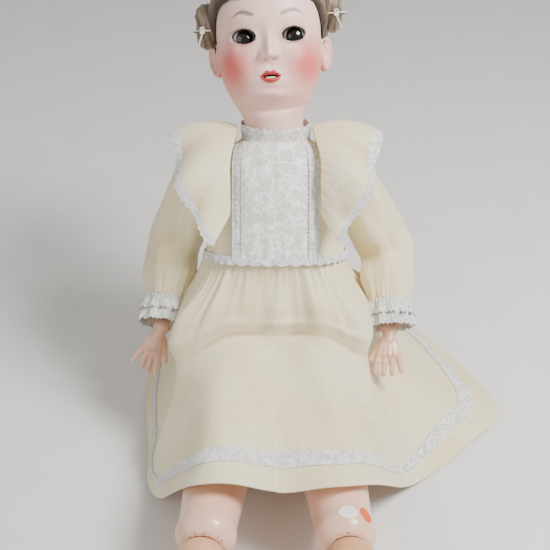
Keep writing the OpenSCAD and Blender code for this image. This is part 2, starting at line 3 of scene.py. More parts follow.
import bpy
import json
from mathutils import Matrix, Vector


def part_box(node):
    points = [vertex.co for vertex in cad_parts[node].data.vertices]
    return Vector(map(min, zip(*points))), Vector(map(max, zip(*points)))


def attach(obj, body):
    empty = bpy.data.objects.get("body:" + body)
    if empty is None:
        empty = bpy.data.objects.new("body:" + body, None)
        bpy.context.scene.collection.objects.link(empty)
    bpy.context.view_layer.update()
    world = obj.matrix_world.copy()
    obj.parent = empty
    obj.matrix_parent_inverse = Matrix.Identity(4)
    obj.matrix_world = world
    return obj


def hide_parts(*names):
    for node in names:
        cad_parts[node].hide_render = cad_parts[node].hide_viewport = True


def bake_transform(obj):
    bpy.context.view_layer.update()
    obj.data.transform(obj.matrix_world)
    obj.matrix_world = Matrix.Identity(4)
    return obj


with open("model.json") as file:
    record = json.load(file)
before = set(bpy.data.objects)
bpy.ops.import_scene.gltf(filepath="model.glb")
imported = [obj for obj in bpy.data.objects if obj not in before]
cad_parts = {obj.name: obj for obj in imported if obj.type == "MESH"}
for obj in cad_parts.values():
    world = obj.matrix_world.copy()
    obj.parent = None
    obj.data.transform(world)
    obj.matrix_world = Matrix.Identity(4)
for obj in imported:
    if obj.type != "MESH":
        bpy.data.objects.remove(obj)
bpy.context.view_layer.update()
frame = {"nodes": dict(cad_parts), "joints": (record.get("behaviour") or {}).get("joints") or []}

import json
import logging
import math
from dataclasses import dataclass, field
from enum import Enum

import bmesh
import bpy
import numpy as np
from mathutils import Matrix, Vector
from mathutils.bvhtree import BVHTree

LOG = logging.getLogger("doll")
MM = 0.001
TAU = 2 * math.pi
JOINTS = {joint["name"]: joint for joint in frame["joints"]}


class Side(Enum):
    """The doll's own left, at +X, and right, at -X."""

    LEFT = 1
    RIGHT = -1

    @property
    def tag(self) -> str:
        """The side's name as it ends a node's or a joint's name."""
        return self.name.lower()


# Measures and frames ------------------------------------------------------------------


def unit(vector: np.ndarray) -> np.ndarray:
    """The vector, or each vector of a grid, at length one."""
    vector = np.asarray(vector, float)
    return vector / np.maximum(np.linalg.norm(vector, axis=-1, keepdims=True), 1e-9)


def pivot(joint: str) -> np.ndarray:
    """The place of a joint in millimetres."""
    return np.array(JOINTS[joint]["pos_m"], float) / MM


def axis(joint: str) -> np.ndarray:
    """The direction of a joint's axis."""
    return unit(np.array(JOINTS[joint]["axis"], float))


@dataclass(frozen=True)
class Place:
    """A right-handed frame of axes at an origin, in millimetres.

    Args:
        origin: Where the frame sits.
        across: The direction of its X axis.
        rise: The direction of its Z axis.
    """

    origin: np.ndarray
    across: np.ndarray
    rise: np.ndarray

    def axes(self) -> np.ndarray:
        """The three axes as rows."""
        back = unit(np.cross(self.rise, self.across))
        return np.array([unit(np.cross(back, self.rise)), back, self.rise])

    def out(self, points: np.ndarray) -> np.ndarray:
        """Points of this frame as points of the whole doll."""
        return self.origin + np.asarray(points, float) @ self.axes()

    def turn(self, direction: tuple) -> np.ndarray:
        """A direction of this frame as a direction of the whole doll."""
        return np.asarray(direction, float) @ self.axes()


HIPS = (pivot("hip_swing_left") + pivot("hip_swing_right")) / 2
NECK = pivot("neck_nod")
TORSO = Place(HIPS, np.array([1.0, 0, 0]), unit(NECK - HIPS))
HEAD_UP = axis("head_turn") * np.sign(axis("head_turn")[2])
EYE_LINE = axis("eyes_close") * np.sign(axis("eyes_close")[0])
HEAD = Place(NECK, EYE_LINE, HEAD_UP)
NECK_Z = float(np.linalg.norm(NECK - HIPS))


def heading(turn: float, rise: float) -> np.ndarray:
    """A direction from an azimuth, where 0 is forwards and 90 the doll's left, and an elevation."""
    turn, rise = math.radians(turn), math.radians(rise)
    return np.array([math.cos(rise) * math.sin(turn), -math.cos(rise) * math.cos(turn), math.sin(rise)])


def smooth(places: list, values: list, at: np.ndarray) -> np.ndarray:
    """A smooth curve through the values at rising places.

    Args:
        places: Rising places of the values.
        values: A value for each place.
        at: Where the curve is wanted.

    Returns:
        The curve's values.
    """
    x, y = np.array(places, float), np.array(values, float)
    slope = np.gradient(y, x)
    at = np.clip(np.asarray(at, float), x[0], x[-1])
    i = np.clip(np.searchsorted(x, at) - 1, 0, len(x) - 2)
    h = x[i + 1] - x[i]
    t = (at - x[i]) / h
    return ((2 * t**3 - 3 * t**2 + 1) * y[i] + (t**3 - 2 * t**2 + t) * h * slope[i]
            + (3 * t**2 - 2 * t**3) * y[i + 1] + (t**3 - t**2) * h * slope[i + 1])


def path(keys: np.ndarray, at: np.ndarray, closed: bool = False) -> np.ndarray:
    """A smooth curve through key points.

    Args:
        keys: Key points, or key rings of points, one for each whole step.
        at: Steps along the keys.
        closed: Whether the curve runs on from the last key to the first.

    Returns:
        A point, or a ring, for each step.
    """
    keys, at = np.asarray(keys, float), np.asarray(at, float)
    n = len(keys)
    i = np.floor(at).astype(int)
    t = (at - i).reshape(at.shape + (1,) * (keys.ndim - 1))
    if closed:
        a, b, c, d = (keys[(i + k) % n] for k in (-1, 0, 1, 2))
    else:
        a, b, c, d = (keys[np.clip(i + k, 0, n - 1)] for k in (-1, 0, 1, 2))
    return b + 0.5 * t * (c - a + t * (2 * a - 5 * b + 4 * c - d + t * (3 * (b - c) + d - a)))


def bump(x: np.ndarray, centre: float, width: float) -> np.ndarray:
    """A soft hump of height one."""
    return np.exp(-(((np.asarray(x, float) - centre) / width) ** 2))


def ease(x: np.ndarray, low: float, high: float) -> np.ndarray:
    """A smooth step from 0 at low to 1 at high."""
    t = np.clip((np.asarray(x, float) - low) / (high - low), 0, 1)
    return t * t * (3 - 2 * t)


@dataclass(frozen=True)
class Folds:
    """Gathers of uneven width and length that run down a cloth.

    Args:
        count: How many folds lie across the cloth.
        height: How far the biggest fold stands out.
        run: How far down the cloth the folds reach, as shares of its length.
        seed: Which set of folds this is.
        drift: How far a fold may wander sideways on its way down.
    """

    count: int
    height: float
    run: tuple
    seed: int
    drift: float = 0.0

    def lift(self, across: np.ndarray, down: np.ndarray, span: tuple) -> np.ndarray:
        """How far the cloth stands out.

        Args:
            across: Place across the cloth.
            down: Place down the cloth, 0 to 1.
            span: The lowest and highest place across.

        Returns:
            The lift at each point, in the folds' own unit.
        """
        dice = np.random.default_rng(self.seed)
        pitch = (span[1] - span[0]) / self.count
        total = np.zeros(np.broadcast(across, down).shape)
        for k in range(self.count):
            centre = span[0] + pitch * (k + 0.5 + dice.uniform(-0.3, 0.3))
            run = dice.uniform(*self.run)
            slip = dice.uniform(-1, 1) * self.drift
            width = pitch * dice.uniform(0.26, 0.46) * (1 + 1.1 * down / max(run, 0.05))
            high = self.height * dice.uniform(0.45, 1)
            total += high * np.exp(-(((across - centre - slip * down) / width) ** 2)) * np.exp(-((down / run) ** 2))
        return total - 0.3 * self.height * np.exp(-((down / max(self.run)) ** 2))


# Materials ------------------------------------------------------------------------------


def tint(code: str, strength: float = 1.0) -> tuple:
    """A linear colour from its sRGB hex code."""
    parts = [int(code[i:i + 2], 16) / 255 for i in (0, 2, 4)]
    line = [c / 12.92 if c <= 0.04045 else ((c + 0.055) / 1.055) ** 2.4 for c in parts]
    return (*[c * strength for c in line], 1.0)


def put(tree: bpy.types.NodeTree, kind: str, inputs: dict | None = None, **settings: object) -> bpy.types.Node:
    """Adds a node with its settings, values and links.

    Args:
        tree: The material's node tree.
        kind: The node's type, without its ShaderNode prefix.
        inputs: A value or an output socket for each input, by name or number.
        settings: The node's own properties.

    Returns:
        The new node.
    """
    made = tree.nodes.new("ShaderNode" + kind)
    for name, value in settings.items():
        setattr(made, name, value)
    for key, value in (inputs or {}).items():
        socket = made.inputs[key]
        if isinstance(value, bpy.types.NodeSocket):
            tree.links.new(value, socket)
        else:
            socket.default_value = value
    return made


@dataclass(frozen=True)
class Finish:
    """A finish built from its shader's own values and a few pattern nodes.

    Args:
        name: The material's name.
        base: Main colour.
        shade: Colour of its grain or stains; on the silk, the amber of the shade painted into its folds.
        rough: Roughness.
        grain: Size of the pattern in millimetres.
        relief: Height of the pattern in millimetres.
        metal: Metalness.
        coat: Strength of a clear coat.
        sheen: Strength of the cloth's sheen.
        soft: Strength of the light that passes under the surface.
        amount: How much of the shade colour the pattern mixes in.
    """

    name: str
    base: str
    shade: str
    rough: float = 0.5
    grain: float = 1.0
    relief: float = 0.05
    metal: float = 0.0
    coat: float = 0.0
    sheen: float = 0.0
    soft: float = 0.0
    amount: float = 0.5

    def start(self) -> tuple[bpy.types.Material, bpy.types.NodeTree, bpy.types.Node]:
        """A material with its shader's own values set.

        Returns:
            The material, its node tree and its shader.
        """
        made = bpy.data.materials.new(self.name)
        made.use_nodes = True
        tree = made.node_tree
        shader = tree.nodes["Principled BSDF"]
        shader.inputs["Base Color"].default_value = tint(self.base)
        shader.inputs["Roughness"].default_value = self.rough
        shader.inputs["Metallic"].default_value = self.metal
        shader.inputs["Coat Weight"].default_value = self.coat
        shader.inputs["Coat Roughness"].default_value = 0.12
        shader.inputs["Sheen Weight"].default_value = self.sheen
        if self.soft:
            shader.inputs["Subsurface Weight"].default_value = self.soft
            shader.inputs["Subsurface Radius"].default_value = (1.0, 0.5, 0.35)
            shader.inputs["Subsurface Scale"].default_value = 0.0025
        return made, tree, shader

    def mottle(self, tree: bpy.types.NodeTree, where: bpy.types.NodeSocket, scale: float,
               detail: float = 4.0) -> bpy.types.NodeSocket:
        """A soft noise of patches, at so many patches a unit."""
        return put(tree, "TexNoise", {"Vector": where, "Scale": scale, "Detail": detail}).outputs["Fac"]

    def stand(self, tree: bpy.types.NodeTree, shader: bpy.types.Node, height: bpy.types.NodeSocket,
              depth: float) -> None:
        """Gives the shader a relief from a height, in millimetres."""
        relief = put(tree, "Bump", {"Height": height, "Distance": depth * MM, "Strength": 1.0})
        tree.links.new(relief.outputs["Normal"], shader.inputs["Normal"])

    def blend(self, tree: bpy.types.NodeTree, share: bpy.types.NodeSocket, low: object, high: object) -> bpy.types.NodeSocket:
        """A colour mixed from low to high by a share."""
        mix = put(tree, "Mix", {"Factor": share, 6: low, 7: high}, data_type="RGBA")
        return mix.outputs[2]

    def steps(self, tree: bpy.types.NodeTree, value: bpy.types.NodeSocket, stops: list) -> bpy.types.NodeSocket:
        """A ramp of grey levels or colours over a value.

        Args:
            tree: The node tree.
            value: What the ramp reads.
            stops: Pairs of place and colour or grey level.

        Returns:
            The ramp's colour.
        """
        ramp = put(tree, "ValToRGB", {"Fac": value})
        while len(ramp.color_ramp.elements) < len(stops):
            ramp.color_ramp.elements.new(0.5)
        for element, (place, colour) in zip(ramp.color_ramp.elements, stops):
            element.position = place
            element.color = colour if isinstance(colour, tuple) else (colour, colour, colour, 1)
        return ramp.outputs["Color"]

    def build(self) -> bpy.types.Material:
        """The finish as a plain mottled surface with a fine relief."""
        made, tree, shader = self.start()
        where = put(tree, "TexCoord").outputs["Object"]
        patches = self.mottle(tree, where, 1 / (self.grain * 8 * MM), 6)
        fine = self.mottle(tree, where, 1 / (self.grain * MM), 3)
        share = self.steps(tree, patches, [(0.38, 0.0), (0.7, self.amount)])
        tree.links.new(self.blend(tree, share, tint(self.base), tint(self.shade)), shader.inputs["Base Color"])
        level = self.steps(tree, fine, [(0.3, max(self.rough - 0.08, 0.02)), (0.7, min(self.rough + 0.1, 1.0))])
        tree.links.new(level, shader.inputs["Roughness"])
        self.stand(tree, shader, fine, self.relief)
        return made


class PaintedFinish(Finish):
    """Matt-fired bisque or painted composition: its colours are painted on the mesh itself."""

    def build(self) -> bpy.types.Material:
        """The painted colour with a faint bloom and pin-prick relief."""
        made, tree, shader = self.start()
        where = put(tree, "TexCoord").outputs["Object"]
        paint = put(tree, "VertexColor", layer_name="paint").outputs["Color"]
        patches = self.mottle(tree, where, 1 / (self.grain * 14 * MM), 5)
        share = self.steps(tree, patches, [(0.35, 0.0), (0.75, self.amount)])
        deeper = put(tree, "Mix", {"Factor": 1.0, 6: paint, 7: tint(self.shade)}, data_type="RGBA",
                     blend_type="MULTIPLY").outputs[2]
        tree.links.new(self.blend(tree, share, paint, deeper), shader.inputs["Base Color"])
        fine = self.mottle(tree, where, 1 / (self.grain * MM), 3)
        level = self.steps(tree, fine, [(0.3, self.rough - 0.06), (0.7, self.rough + 0.08)])
        tree.links.new(level, shader.inputs["Roughness"])
        self.stand(tree, shader, fine, self.relief)
        return made


class SilkFinish(Finish):
    """Thin old silk: fine weave, slubs, and amber painted shade where the folds close up."""

    def build(self) -> bpy.types.Material:
        """The cloth's colour with painted shade in its creases, and its weave, laid out on the cloth's own millimetres.
        """
        made, tree, shader = self.start()
        cloth = put(tree, "UVMap", uv_map="cloth").outputs["UV"]
        hollow = put(tree, "Attribute", attribute_name="hollow").outputs["Fac"]
        long_slub = put(tree, "Mapping", {"Vector": cloth, "Scale": (0.9, 0.05, 1)}).outputs["Vector"]
        slub = self.mottle(tree, long_slub, 1.0, 3)
        stain = self.mottle(tree, cloth, 0.018, 5)
        age = self.steps(tree, stain, [(0.38, 0.0), (0.72, 0.8)])
        lit = self.blend(tree, age, tint(self.base), tint("F0DDA6"))
        # painted shade: the amber shade colour is mixed in by how deep in a fold each point lies
        deep = self.steps(tree, hollow, [(0.42, 0.0), (0.7, 0.22), (1.0, 0.85)])
        age_and_shade = self.blend(tree, deep, lit, tint(self.shade))
        streak = self.steps(tree, slub, [(0.35, 0.93), (0.65, 1.0)])
        toned = put(tree, "Mix", {"Factor": 1.0, 6: age_and_shade, 7: streak}, data_type="RGBA", blend_type="MULTIPLY")
        tree.links.new(toned.outputs[2], shader.inputs["Base Color"])
        warp = put(tree, "TexWave", {"Vector": cloth, "Scale": 1 / (self.grain * 2), "Distortion": 0.6},
                   bands_direction="X").outputs["Fac"]
        weft = put(tree, "TexWave", {"Vector": cloth, "Scale": 1 / (self.grain * 2), "Distortion": 0.6},
                   bands_direction="Y").outputs["Fac"]
        crinkle = self.mottle(tree, cloth, 0.22, 5)
        weave = put(tree, "Math", {0: warp, 1: weft}, operation="MULTIPLY").outputs[0]
        height = put(tree, "Math", {0: crinkle, 1: 9.0, 2: weave}, operation="MULTIPLY_ADD").outputs[0]
        self.stand(tree, shader, height, self.relief)
        return made


class LaceFinish(Finish):
    """Machine lace: flower sprigs of close thread on a fine net, over cloth."""

    def build(self) -> bpy.types.Material:
        """The lace's thread and net, laid out on the lace's own millimetres."""
        made, tree, shader = self.start()
        cloth = put(tree, "UVMap", uv_map="cloth").outputs["UV"]
        wobble = put(tree, "TexNoise", {"Vector": cloth, "Scale": 1.6 / self.grain, "Detail": 1.5}).outputs["Color"]
        bend = (0.9 * self.grain, 0.9 * self.grain, 0.0)
        moved = put(tree, "VectorMath", {0: wobble, 1: bend, 2: cloth}, operation="MULTIPLY_ADD").outputs[0]
        flower = put(tree, "TexVoronoi", {"Vector": moved, "Scale": 1 / self.grain, "Randomness": 0.8}, feature="F1").outputs["Distance"]
        petals = self.steps(tree, flower, [(0.0, 1.0), (0.08, 1.0), (0.12, 0.15), (0.24, 0.3), (0.28, 1.0), (0.34, 1.0), (0.39, 0.25), (0.6, 0.0)])
        stem = put(tree, "TexVoronoi", {"Vector": moved, "Scale": 1.1 / self.grain, "Randomness": 0.9},
                   feature="DISTANCE_TO_EDGE").outputs["Distance"]
        vines = self.steps(tree, stem, [(0.0, 1.0), (0.05, 0.9), (0.09, 0.0)])
        petals = put(tree, "Math", {0: petals, 1: vines}, operation="MAXIMUM").outputs[0]
        net = put(tree, "TexVoronoi", {"Vector": cloth, "Scale": 8.5 / self.grain, "Randomness": 0.35}, feature="DISTANCE_TO_EDGE").outputs["Distance"]
        mesh = self.steps(tree, net, [(0.0, 1.0), (0.14, 0.85), (0.3, 0.0)])
        thread = put(tree, "Math", {0: petals, 1: mesh}, operation="MAXIMUM").outputs[0]
        tree.links.new(self.blend(tree, thread, tint(self.shade), tint(self.base)), shader.inputs["Base Color"])
        strand = put(tree, "Math", {0: net, 1: -0.8, 2: thread}, operation="MULTIPLY_ADD").outputs[0]
        self.stand(tree, shader, strand, self.relief)
        return made


class HairFinish(Finish):
    """Combed mohair: long fine strands, with painted shade where they lie deep."""

    def build(self) -> bpy.types.Material:
        """Strands laid along the piece's own length."""
        made, tree, shader = self.start()
        cloth = put(tree, "UVMap", uv_map="cloth").outputs["UV"]
        fine = put(tree, "Mapping", {"Vector": cloth, "Scale": (2.6, 0.03, 1)}).outputs["Vector"]
        locks = put(tree, "Mapping", {"Vector": cloth, "Scale": (0.35, 0.012, 1)}).outputs["Vector"]
        strands = self.mottle(tree, fine, 1.0, 4)
        lock = self.mottle(tree, locks, 1.0, 3)
        hollow = put(tree, "Attribute", attribute_name="hollow").outputs["Fac"]
        body = self.blend(tree, self.steps(tree, strands, [(0.32, 0.0), (0.68, 1.0)]), tint(self.shade), tint(self.base))
        light = self.blend(tree, self.steps(tree, lock, [(0.45, 0.0), (0.75, 0.6)]), body, tint("A8967A"))
        # painted shade: the near-black brown 2E221B is mixed in by how deep the hair lies
        painted_hair_shade = self.blend(tree, hollow, light, tint("2E221B"))
        tree.links.new(painted_hair_shade, shader.inputs["Base Color"])
        shader.inputs["Anisotropic"].default_value = 0.6
        self.stand(tree, shader, strands, self.relief)
        return made


class IrisFinish(Finish):
    """Blown glass: a near-black brown iris set in milk glass under a clear polish."""

    def build(self) -> bpy.types.Material:
        """Rings of pupil, iris and white by the angle off the gaze."""
        made, tree, shader = self.start()
        ball = put(tree, "UVMap", uv_map="gaze").outputs["UV"]
        off = put(tree, "SeparateXYZ", {"Vector": ball}).outputs["X"]
        threads = put(tree, "Mapping", {"Vector": ball, "Scale": (6, 90, 1)}).outputs["Vector"]
        ray = self.mottle(tree, threads, 1.0, 2)
        brown = self.blend(tree, ray, tint("0A0503"), tint("1C0D07"))
        rings = self.steps(tree, off, [(0.0, 1.0), (0.048, 1.0), (0.062, 0.0), (1.0, 0.0)])
        iris = self.blend(tree, rings, brown, tint("050404"))
        white = self.steps(tree, off, [(0.0, 0.0), (0.205, 0.0), (0.222, 1.0), (1.0, 1.0)])
        rim = self.steps(tree, off, [(0.165, 0.0), (0.195, 0.85), (0.208, 0.85), (0.232, 0.0)])
        eye = self.blend(tree, white, iris, tint(self.base))
        tree.links.new(self.blend(tree, rim, eye, tint("0C0706")), shader.inputs["Base Color"])
        return made


class CrackleFinish(Finish):
    """Old varnish over pink-buff paint: satin, scuffed, with fine age lines and rubbed brown edges."""

    def build(self) -> bpy.types.Material:
        """Paint and varnish with hairline cracks, and wear from the mesh's own wear attribute."""
        made, tree, shader = self.start()
        where = put(tree, "TexCoord").outputs["Object"]
        worn = put(tree, "Attribute", attribute_name="hollow").outputs["Fac"]
        stain = self.mottle(tree, where, 1 / (28 * MM), 6)
        tone = self.blend(tree, self.steps(tree, stain, [(0.4, 0.0), (0.75, self.amount)]), tint(self.base), tint(self.shade))
        edge = put(tree, "TexVoronoi", {"Vector": where, "Scale": 1 / (9 * MM)}, feature="DISTANCE_TO_EDGE").outputs["Distance"]
        crack = self.steps(tree, edge, [(0.0, 0.3), (0.012, 0.0)])
        age_and_shade = self.blend(tree, crack, tone, tint("9A7257"))
        ragged = self.mottle(tree, where, 1 / (2.2 * MM), 5)
        rub = put(tree, "Math", {0: ragged, 1: 0.7, 2: worn}, operation="MULTIPLY_ADD").outputs[0]
        bare = self.steps(tree, rub, [(0.72, 0.0), (0.86, 1.0)])
        tree.links.new(self.blend(tree, bare, age_and_shade, tint("B5794A")), shader.inputs["Base Color"])
        fine = self.mottle(tree, where, 1 / (self.grain * MM), 4)
        level = self.steps(tree, fine, [(0.3, self.rough - 0.08), (0.75, self.rough + 0.14)])
        tree.links.new(level, shader.inputs["Roughness"])
        self.stand(tree, shader, fine, self.relief)
        return made


class GrainFinish(Finish):
    """Turned wood: lathe rings and long grain under worn paint."""

    def build(self) -> bpy.types.Material:
        """Wood grain with fine turning marks."""
        made, tree, shader = self.start()
        where = put(tree, "TexCoord").outputs["Object"]
        grain = put(tree, "TexWave", {"Vector": where, "Scale": 1 / (self.grain * MM), "Distortion": 5.0, "Detail": 3}).outputs["Fac"]
        tree.links.new(self.blend(tree, self.steps(tree, grain, [(0.2, 0.0), (0.9, self.amount)]), tint(self.base), tint(self.shade)),
                       shader.inputs["Base Color"])
        self.stand(tree, shader, grain, self.relief)
        return made


class Cupboard:
    """Every finish of the doll, each made once when it is first asked for."""

    BISQUE = PaintedFinish("bisque", "EBCFC6", "F0DCCF", 0.42, 0.9, 0.012, soft=0.06, amount=0.5)
    FLESH = PaintedFinish("painted_flesh", "E2B8A0", "E8C9AE", 0.38, 1.2, 0.02, coat=0.25, amount=0.6)
    LASH = Finish("lash_paint", "1A1210", "2A1C18", 0.45, 0.6, 0.005)
    # the silk's shade colour, C08A3E, is the amber painted as shade in its folds
    SILK = SilkFinish("old_silk", "F8EBC6", "C08A3E", 0.5, 0.3, 0.05, sheen=0.35)
    LACE = LaceFinish("thread_lace", "FCFBF8", "E2DAC2", 0.72, 10.0, 0.4, sheen=0.25)
    NARROW = LaceFinish("narrow_lace", "FCFBF9", "E6E1D2", 0.72, 4.2, 0.35, sheen=0.25)
    HAIR = HairFinish("mohair", "8C775C", "4E3E30", 0.5, 0.4, 0.12, sheen=0.2)
    RIBBON = Finish("tie_ribbon", "E9E3D4", "C9BDA2", 0.55, 0.5, 0.05, sheen=0.4)
    LEG = CrackleFinish("leg_varnish", "EBBFA6", "D69C7E", 0.36, 1.4, 0.03, coat=0.35, amount=0.55)
    BALL = CrackleFinish("ball_varnish", "D9A680", "BE7F52", 0.45, 1.4, 0.05, coat=0.15, amount=0.7)
    BODY = CrackleFinish("body_varnish", "DDB59A", "C99878", 0.4, 1.4, 0.03, coat=0.3, amount=0.5)
    GLASS = IrisFinish("eye_glass", "DEDAD4", "1C0F09", 0.08, coat=0.3)
    TOOTH = Finish("tooth_porcelain", "F3EFE4", "E2DAC8", 0.15, 0.6, 0.003, coat=0.6)
    PLASTER = Finish("plaster", "E4DFD4", "C9C1B2", 0.9, 0.8, 0.08)
    CORK = Finish("cork_pate", "A87F52", "6E4D2E", 0.9, 1.6, 0.3, amount=0.9)
    WIRE = Finish("wire", "8E8A84", "6B5A48", 0.35, 0.5, 0.01, metal=1.0)
    LEAD = Finish("lead", "6F7073", "4C4D50", 0.6, 1.0, 0.05, metal=0.8)
    WOOD = GrainFinish("turned_wood", "B98A5C", "8A5E38", 0.6, 2.5, 0.05, amount=0.8)
    CORD = Finish("elastic_cord", "D8CFB8", "B3A587", 0.85, 0.5, 0.15)
    BUTTON = Finish("china_button", "F1EEE6", "DDD7C8", 0.22, 1.0, 0.005, coat=0.5)
    PAPER = Finish("label_paper", "F1EFEA", "E3DFD6", 0.7, 0.7, 0.01)
    ORANGE = Finish("label_orange", "E2622A", "C94F1E", 0.6, 0.7, 0.01)
    FLOOR = Finish("studio_floor", "E9E7E3", "E3E0DB", 0.8, 6.0, 0.02)
    made: dict = {}

    @classmethod
    def take(cls, finish: Finish) -> bpy.types.Material:
        """The material of a finish."""
        if finish.name not in cls.made:
            cls.made[finish.name] = finish.build()
        return cls.made[finish.name]


# Mesh work ------------------------------------------------------------------------------


def piece_from(name: str, points: np.ndarray, faces: list, flat: bool = False) -> bpy.types.Object:
    """An object at the origin from points in millimetres and faces.

    Args:
        name: The piece's name.
        points: Its points, in the whole doll's millimetres.
        faces: Lists of point numbers.
        flat: Whether the faces stay flat-shaded.

    Returns:
        The new object.
    """
    mesh = bpy.data.meshes.new(name)
    mesh.from_pydata((np.asarray(points, float).reshape(-1, 3) * MM).tolist(), [], faces)
    mesh.update()
    made = bpy.data.objects.new(name, mesh)
    bpy.context.scene.collection.objects.link(made)
    if not flat:
        mesh.polygons.foreach_set("use_smooth", [True] * len(mesh.polygons))
    return made


def only(target: bpy.types.Object) -> None:
    """Selects one object alone and makes it active."""
    bpy.ops.object.select_all(action="DESELECT")
    target.select_set(True)
    bpy.context.view_layer.objects.active = target


def settle(target: bpy.types.Object) -> None:
    """Applies an object's place, turn and size to its mesh."""
    only(target)
    bpy.ops.object.transform_apply(location=True, rotation=True, scale=True)


def finish_with(target: bpy.types.Object, kind: str, **settings: object) -> None:
    """Adds a modifier and applies it."""
    only(target)
    modifier = target.modifiers.new(kind.lower(), kind)
    for key, value in settings.items():
        setattr(modifier, key, value)
    bpy.ops.object.modifier_apply(modifier=modifier.name)


def outward(target: bpy.types.Object) -> None:
    """Turns every face of a closed mesh outwards."""
    work = bmesh.new()
    work.from_mesh(target.data)
    bmesh.ops.recalc_face_normals(work, faces=work.faces)
    work.to_mesh(target.data)
    work.free()


def normals_of(grid: np.ndarray, closed: bool) -> np.ndarray:
    """The normal of a grid's surface at each point."""
    if closed:
        across = np.roll(grid, -1, axis=1) - np.roll(grid, 1, axis=1)
    else:
        across = np.gradient(grid, axis=1)
    down = np.gradient(grid, axis=0)
    return unit(np.cross(down, across))


def lengths(grid: np.ndarray, closed: bool) -> np.ndarray:
    """Each grid point's place on the flat cloth, in millimetres, with one more column where it is closed."""
    if closed:
        grid = np.concatenate([grid, grid[:, :1]], axis=1)
    across = np.linalg.norm(np.diff(grid, axis=1), axis=2).mean(axis=0)
    down = np.linalg.norm(np.diff(grid, axis=0), axis=2).mean(axis=1)
    u = np.concatenate([[0], np.cumsum(across)])
    v = np.concatenate([[0], np.cumsum(down)])
    return np.stack(np.meshgrid(u, v), axis=2)


@dataclass
class Cloth:
    """A sheet of cloth as a grid of points with a thickness.

    Args:
        grid: Rows of outer points in the whole doll's millimetres.
        thick: Thickness of the cloth.
        closed: Whether each row runs round and meets itself.
        facing: 1 where the grid's own normal points out of the doll, -1 where it points in.
        hollow: How deep in a fold each point lies, 0 to 1, which the silk and hair finishes paint as shade.
        flat: Place of each point on the flat cloth, or None to measure it.
    """

    grid: np.ndarray
    thick: float = 0.8
    closed: bool = False
    facing: int = 1
    hollow: np.ndarray | None = None
    flat: np.ndarray | None = None

    def __post_init__(self) -> None:
        """Measures the cloth and its normals once, for the whole sheet."""
        self.normal = self.facing * normals_of(self.grid, self.closed)
        self.inner = self.grid - self.thick * self.normal
        if self.flat is None:
            self.flat = lengths(self.grid, self.closed)
        if self.hollow is None:
            self.hollow = np.zeros(self.grid.shape[:2])

    def piece(self, name: str, rows: slice = slice(None), columns: slice = slice(None)) -> bpy.types.Object:
        """Cuts a piece out of the sheet and closes its edges.

        Args:
            name: The piece's name.
            rows: Which rows it takes.
            columns: Which columns it takes.

        Returns:
            The piece, closed and with its own millimetres as a UV map.
        """
        outer, inner = self.grid[rows, columns], self.inner[rows, columns]
        closed = self.closed and columns == slice(None)
        r, c = outer.shape[:2]
        count = r * c
        number = np.arange(count).reshape(r, c)
        if closed:
            number = np.concatenate([number, number[:, :1]], axis=1)
        a, b, d, e = number[:-1, :-1], number[:-1, 1:], number[1:, 1:], number[1:, :-1]
        front = np.stack([a, b, d, e], axis=-1).reshape(-1, 4)
        back = front[:, ::-1] + count
        edges = [np.stack([number[0, :-1], number[0, :-1] + count, number[0, 1:] + count, number[0, 1:]], -1),
                 np.stack([number[-1, 1:], number[-1, 1:] + count, number[-1, :-1] + count, number[-1, :-1]], -1)]
        if not closed:
            edges += [np.stack([number[1:, 0], number[1:, 0] + count, number[:-1, 0] + count, number[:-1, 0]], -1),
                      np.stack([number[:-1, -1], number[:-1, -1] + count, number[1:, -1] + count, number[1:, -1]], -1)]
        faces = np.concatenate([front, back] + [e.reshape(-1, 4) for e in edges])
        made = piece_from(name, np.concatenate([outer.reshape(-1, 3), inner.reshape(-1, 3)]), faces.tolist())
        self._lay_out(made, rows, columns, closed, number)
        self._store(made, "hollow", np.tile(self.hollow[rows, columns].reshape(-1), 2))
        outward(made)
        only(made)
        bpy.ops.object.shade_smooth_by_angle(angle=math.radians(50))
        return made

    def _lay_out(self, made: bpy.types.Object, rows: slice, columns: slice, closed: bool,
                 number: np.ndarray) -> None:
        """Writes the cloth's own millimetres to a UV map."""
        flat = self.flat[rows] if closed else self.flat[rows, :self.grid.shape[1]][:, columns]
        count = len(made.data.vertices) // 2
        plain = flat[:, :-1] if closed else flat
        spot = np.tile(plain.reshape(-1, 2), (2, 1))
        layer = made.data.uv_layers.new(name="cloth")
        loops = np.zeros(len(made.data.loops), int)
        made.data.loops.foreach_get("vertex_index", loops)
        values = spot[loops]
        if closed:
            wide = number.shape[1] - 1
            column = (loops % count) % wide
            per_face = column.reshape(-1, 4)
            wraps = (per_face.max(axis=1) == wide - 1) & (per_face.min(axis=1) == 0)
            fix = np.repeat(wraps, 4) & (column == 0)
            values[fix, 0] += flat[0, -1, 0]
        layer.data.foreach_set("uv", values.astype(np.float32).reshape(-1))

    @staticmethod
    def _store(made: bpy.types.Object, name: str, values: np.ndarray) -> None:
        """Writes a value for each point."""
        layer = made.data.attributes.new(name, "FLOAT", "POINT")
        layer.data.foreach_set("value", np.clip(values, 0, 1).astype(np.float32))

    def cut(self, rows: slice = slice(None), columns: slice = slice(None)) -> tuple[float, float]:
        """The width and length in metres of the flat cloth that a piece takes.

        Args:
            rows: Which rows the piece takes.
            columns: Which columns it takes.

        Returns:
            Its mean width along the rows and its mean length down the columns.
        """
        points = self.grid[rows, columns]
        if self.closed and columns == slice(None):
            points = np.concatenate([points, points[:, :1]], axis=1)
        wide = np.linalg.norm(np.diff(points, axis=1), axis=-1).sum(axis=1).mean()
        long = np.linalg.norm(np.diff(points, axis=0), axis=-1).sum(axis=0).mean()
        return max(round(float(wide) * MM, 3), 0.01), max(round(float(long) * MM, 3), 0.01)


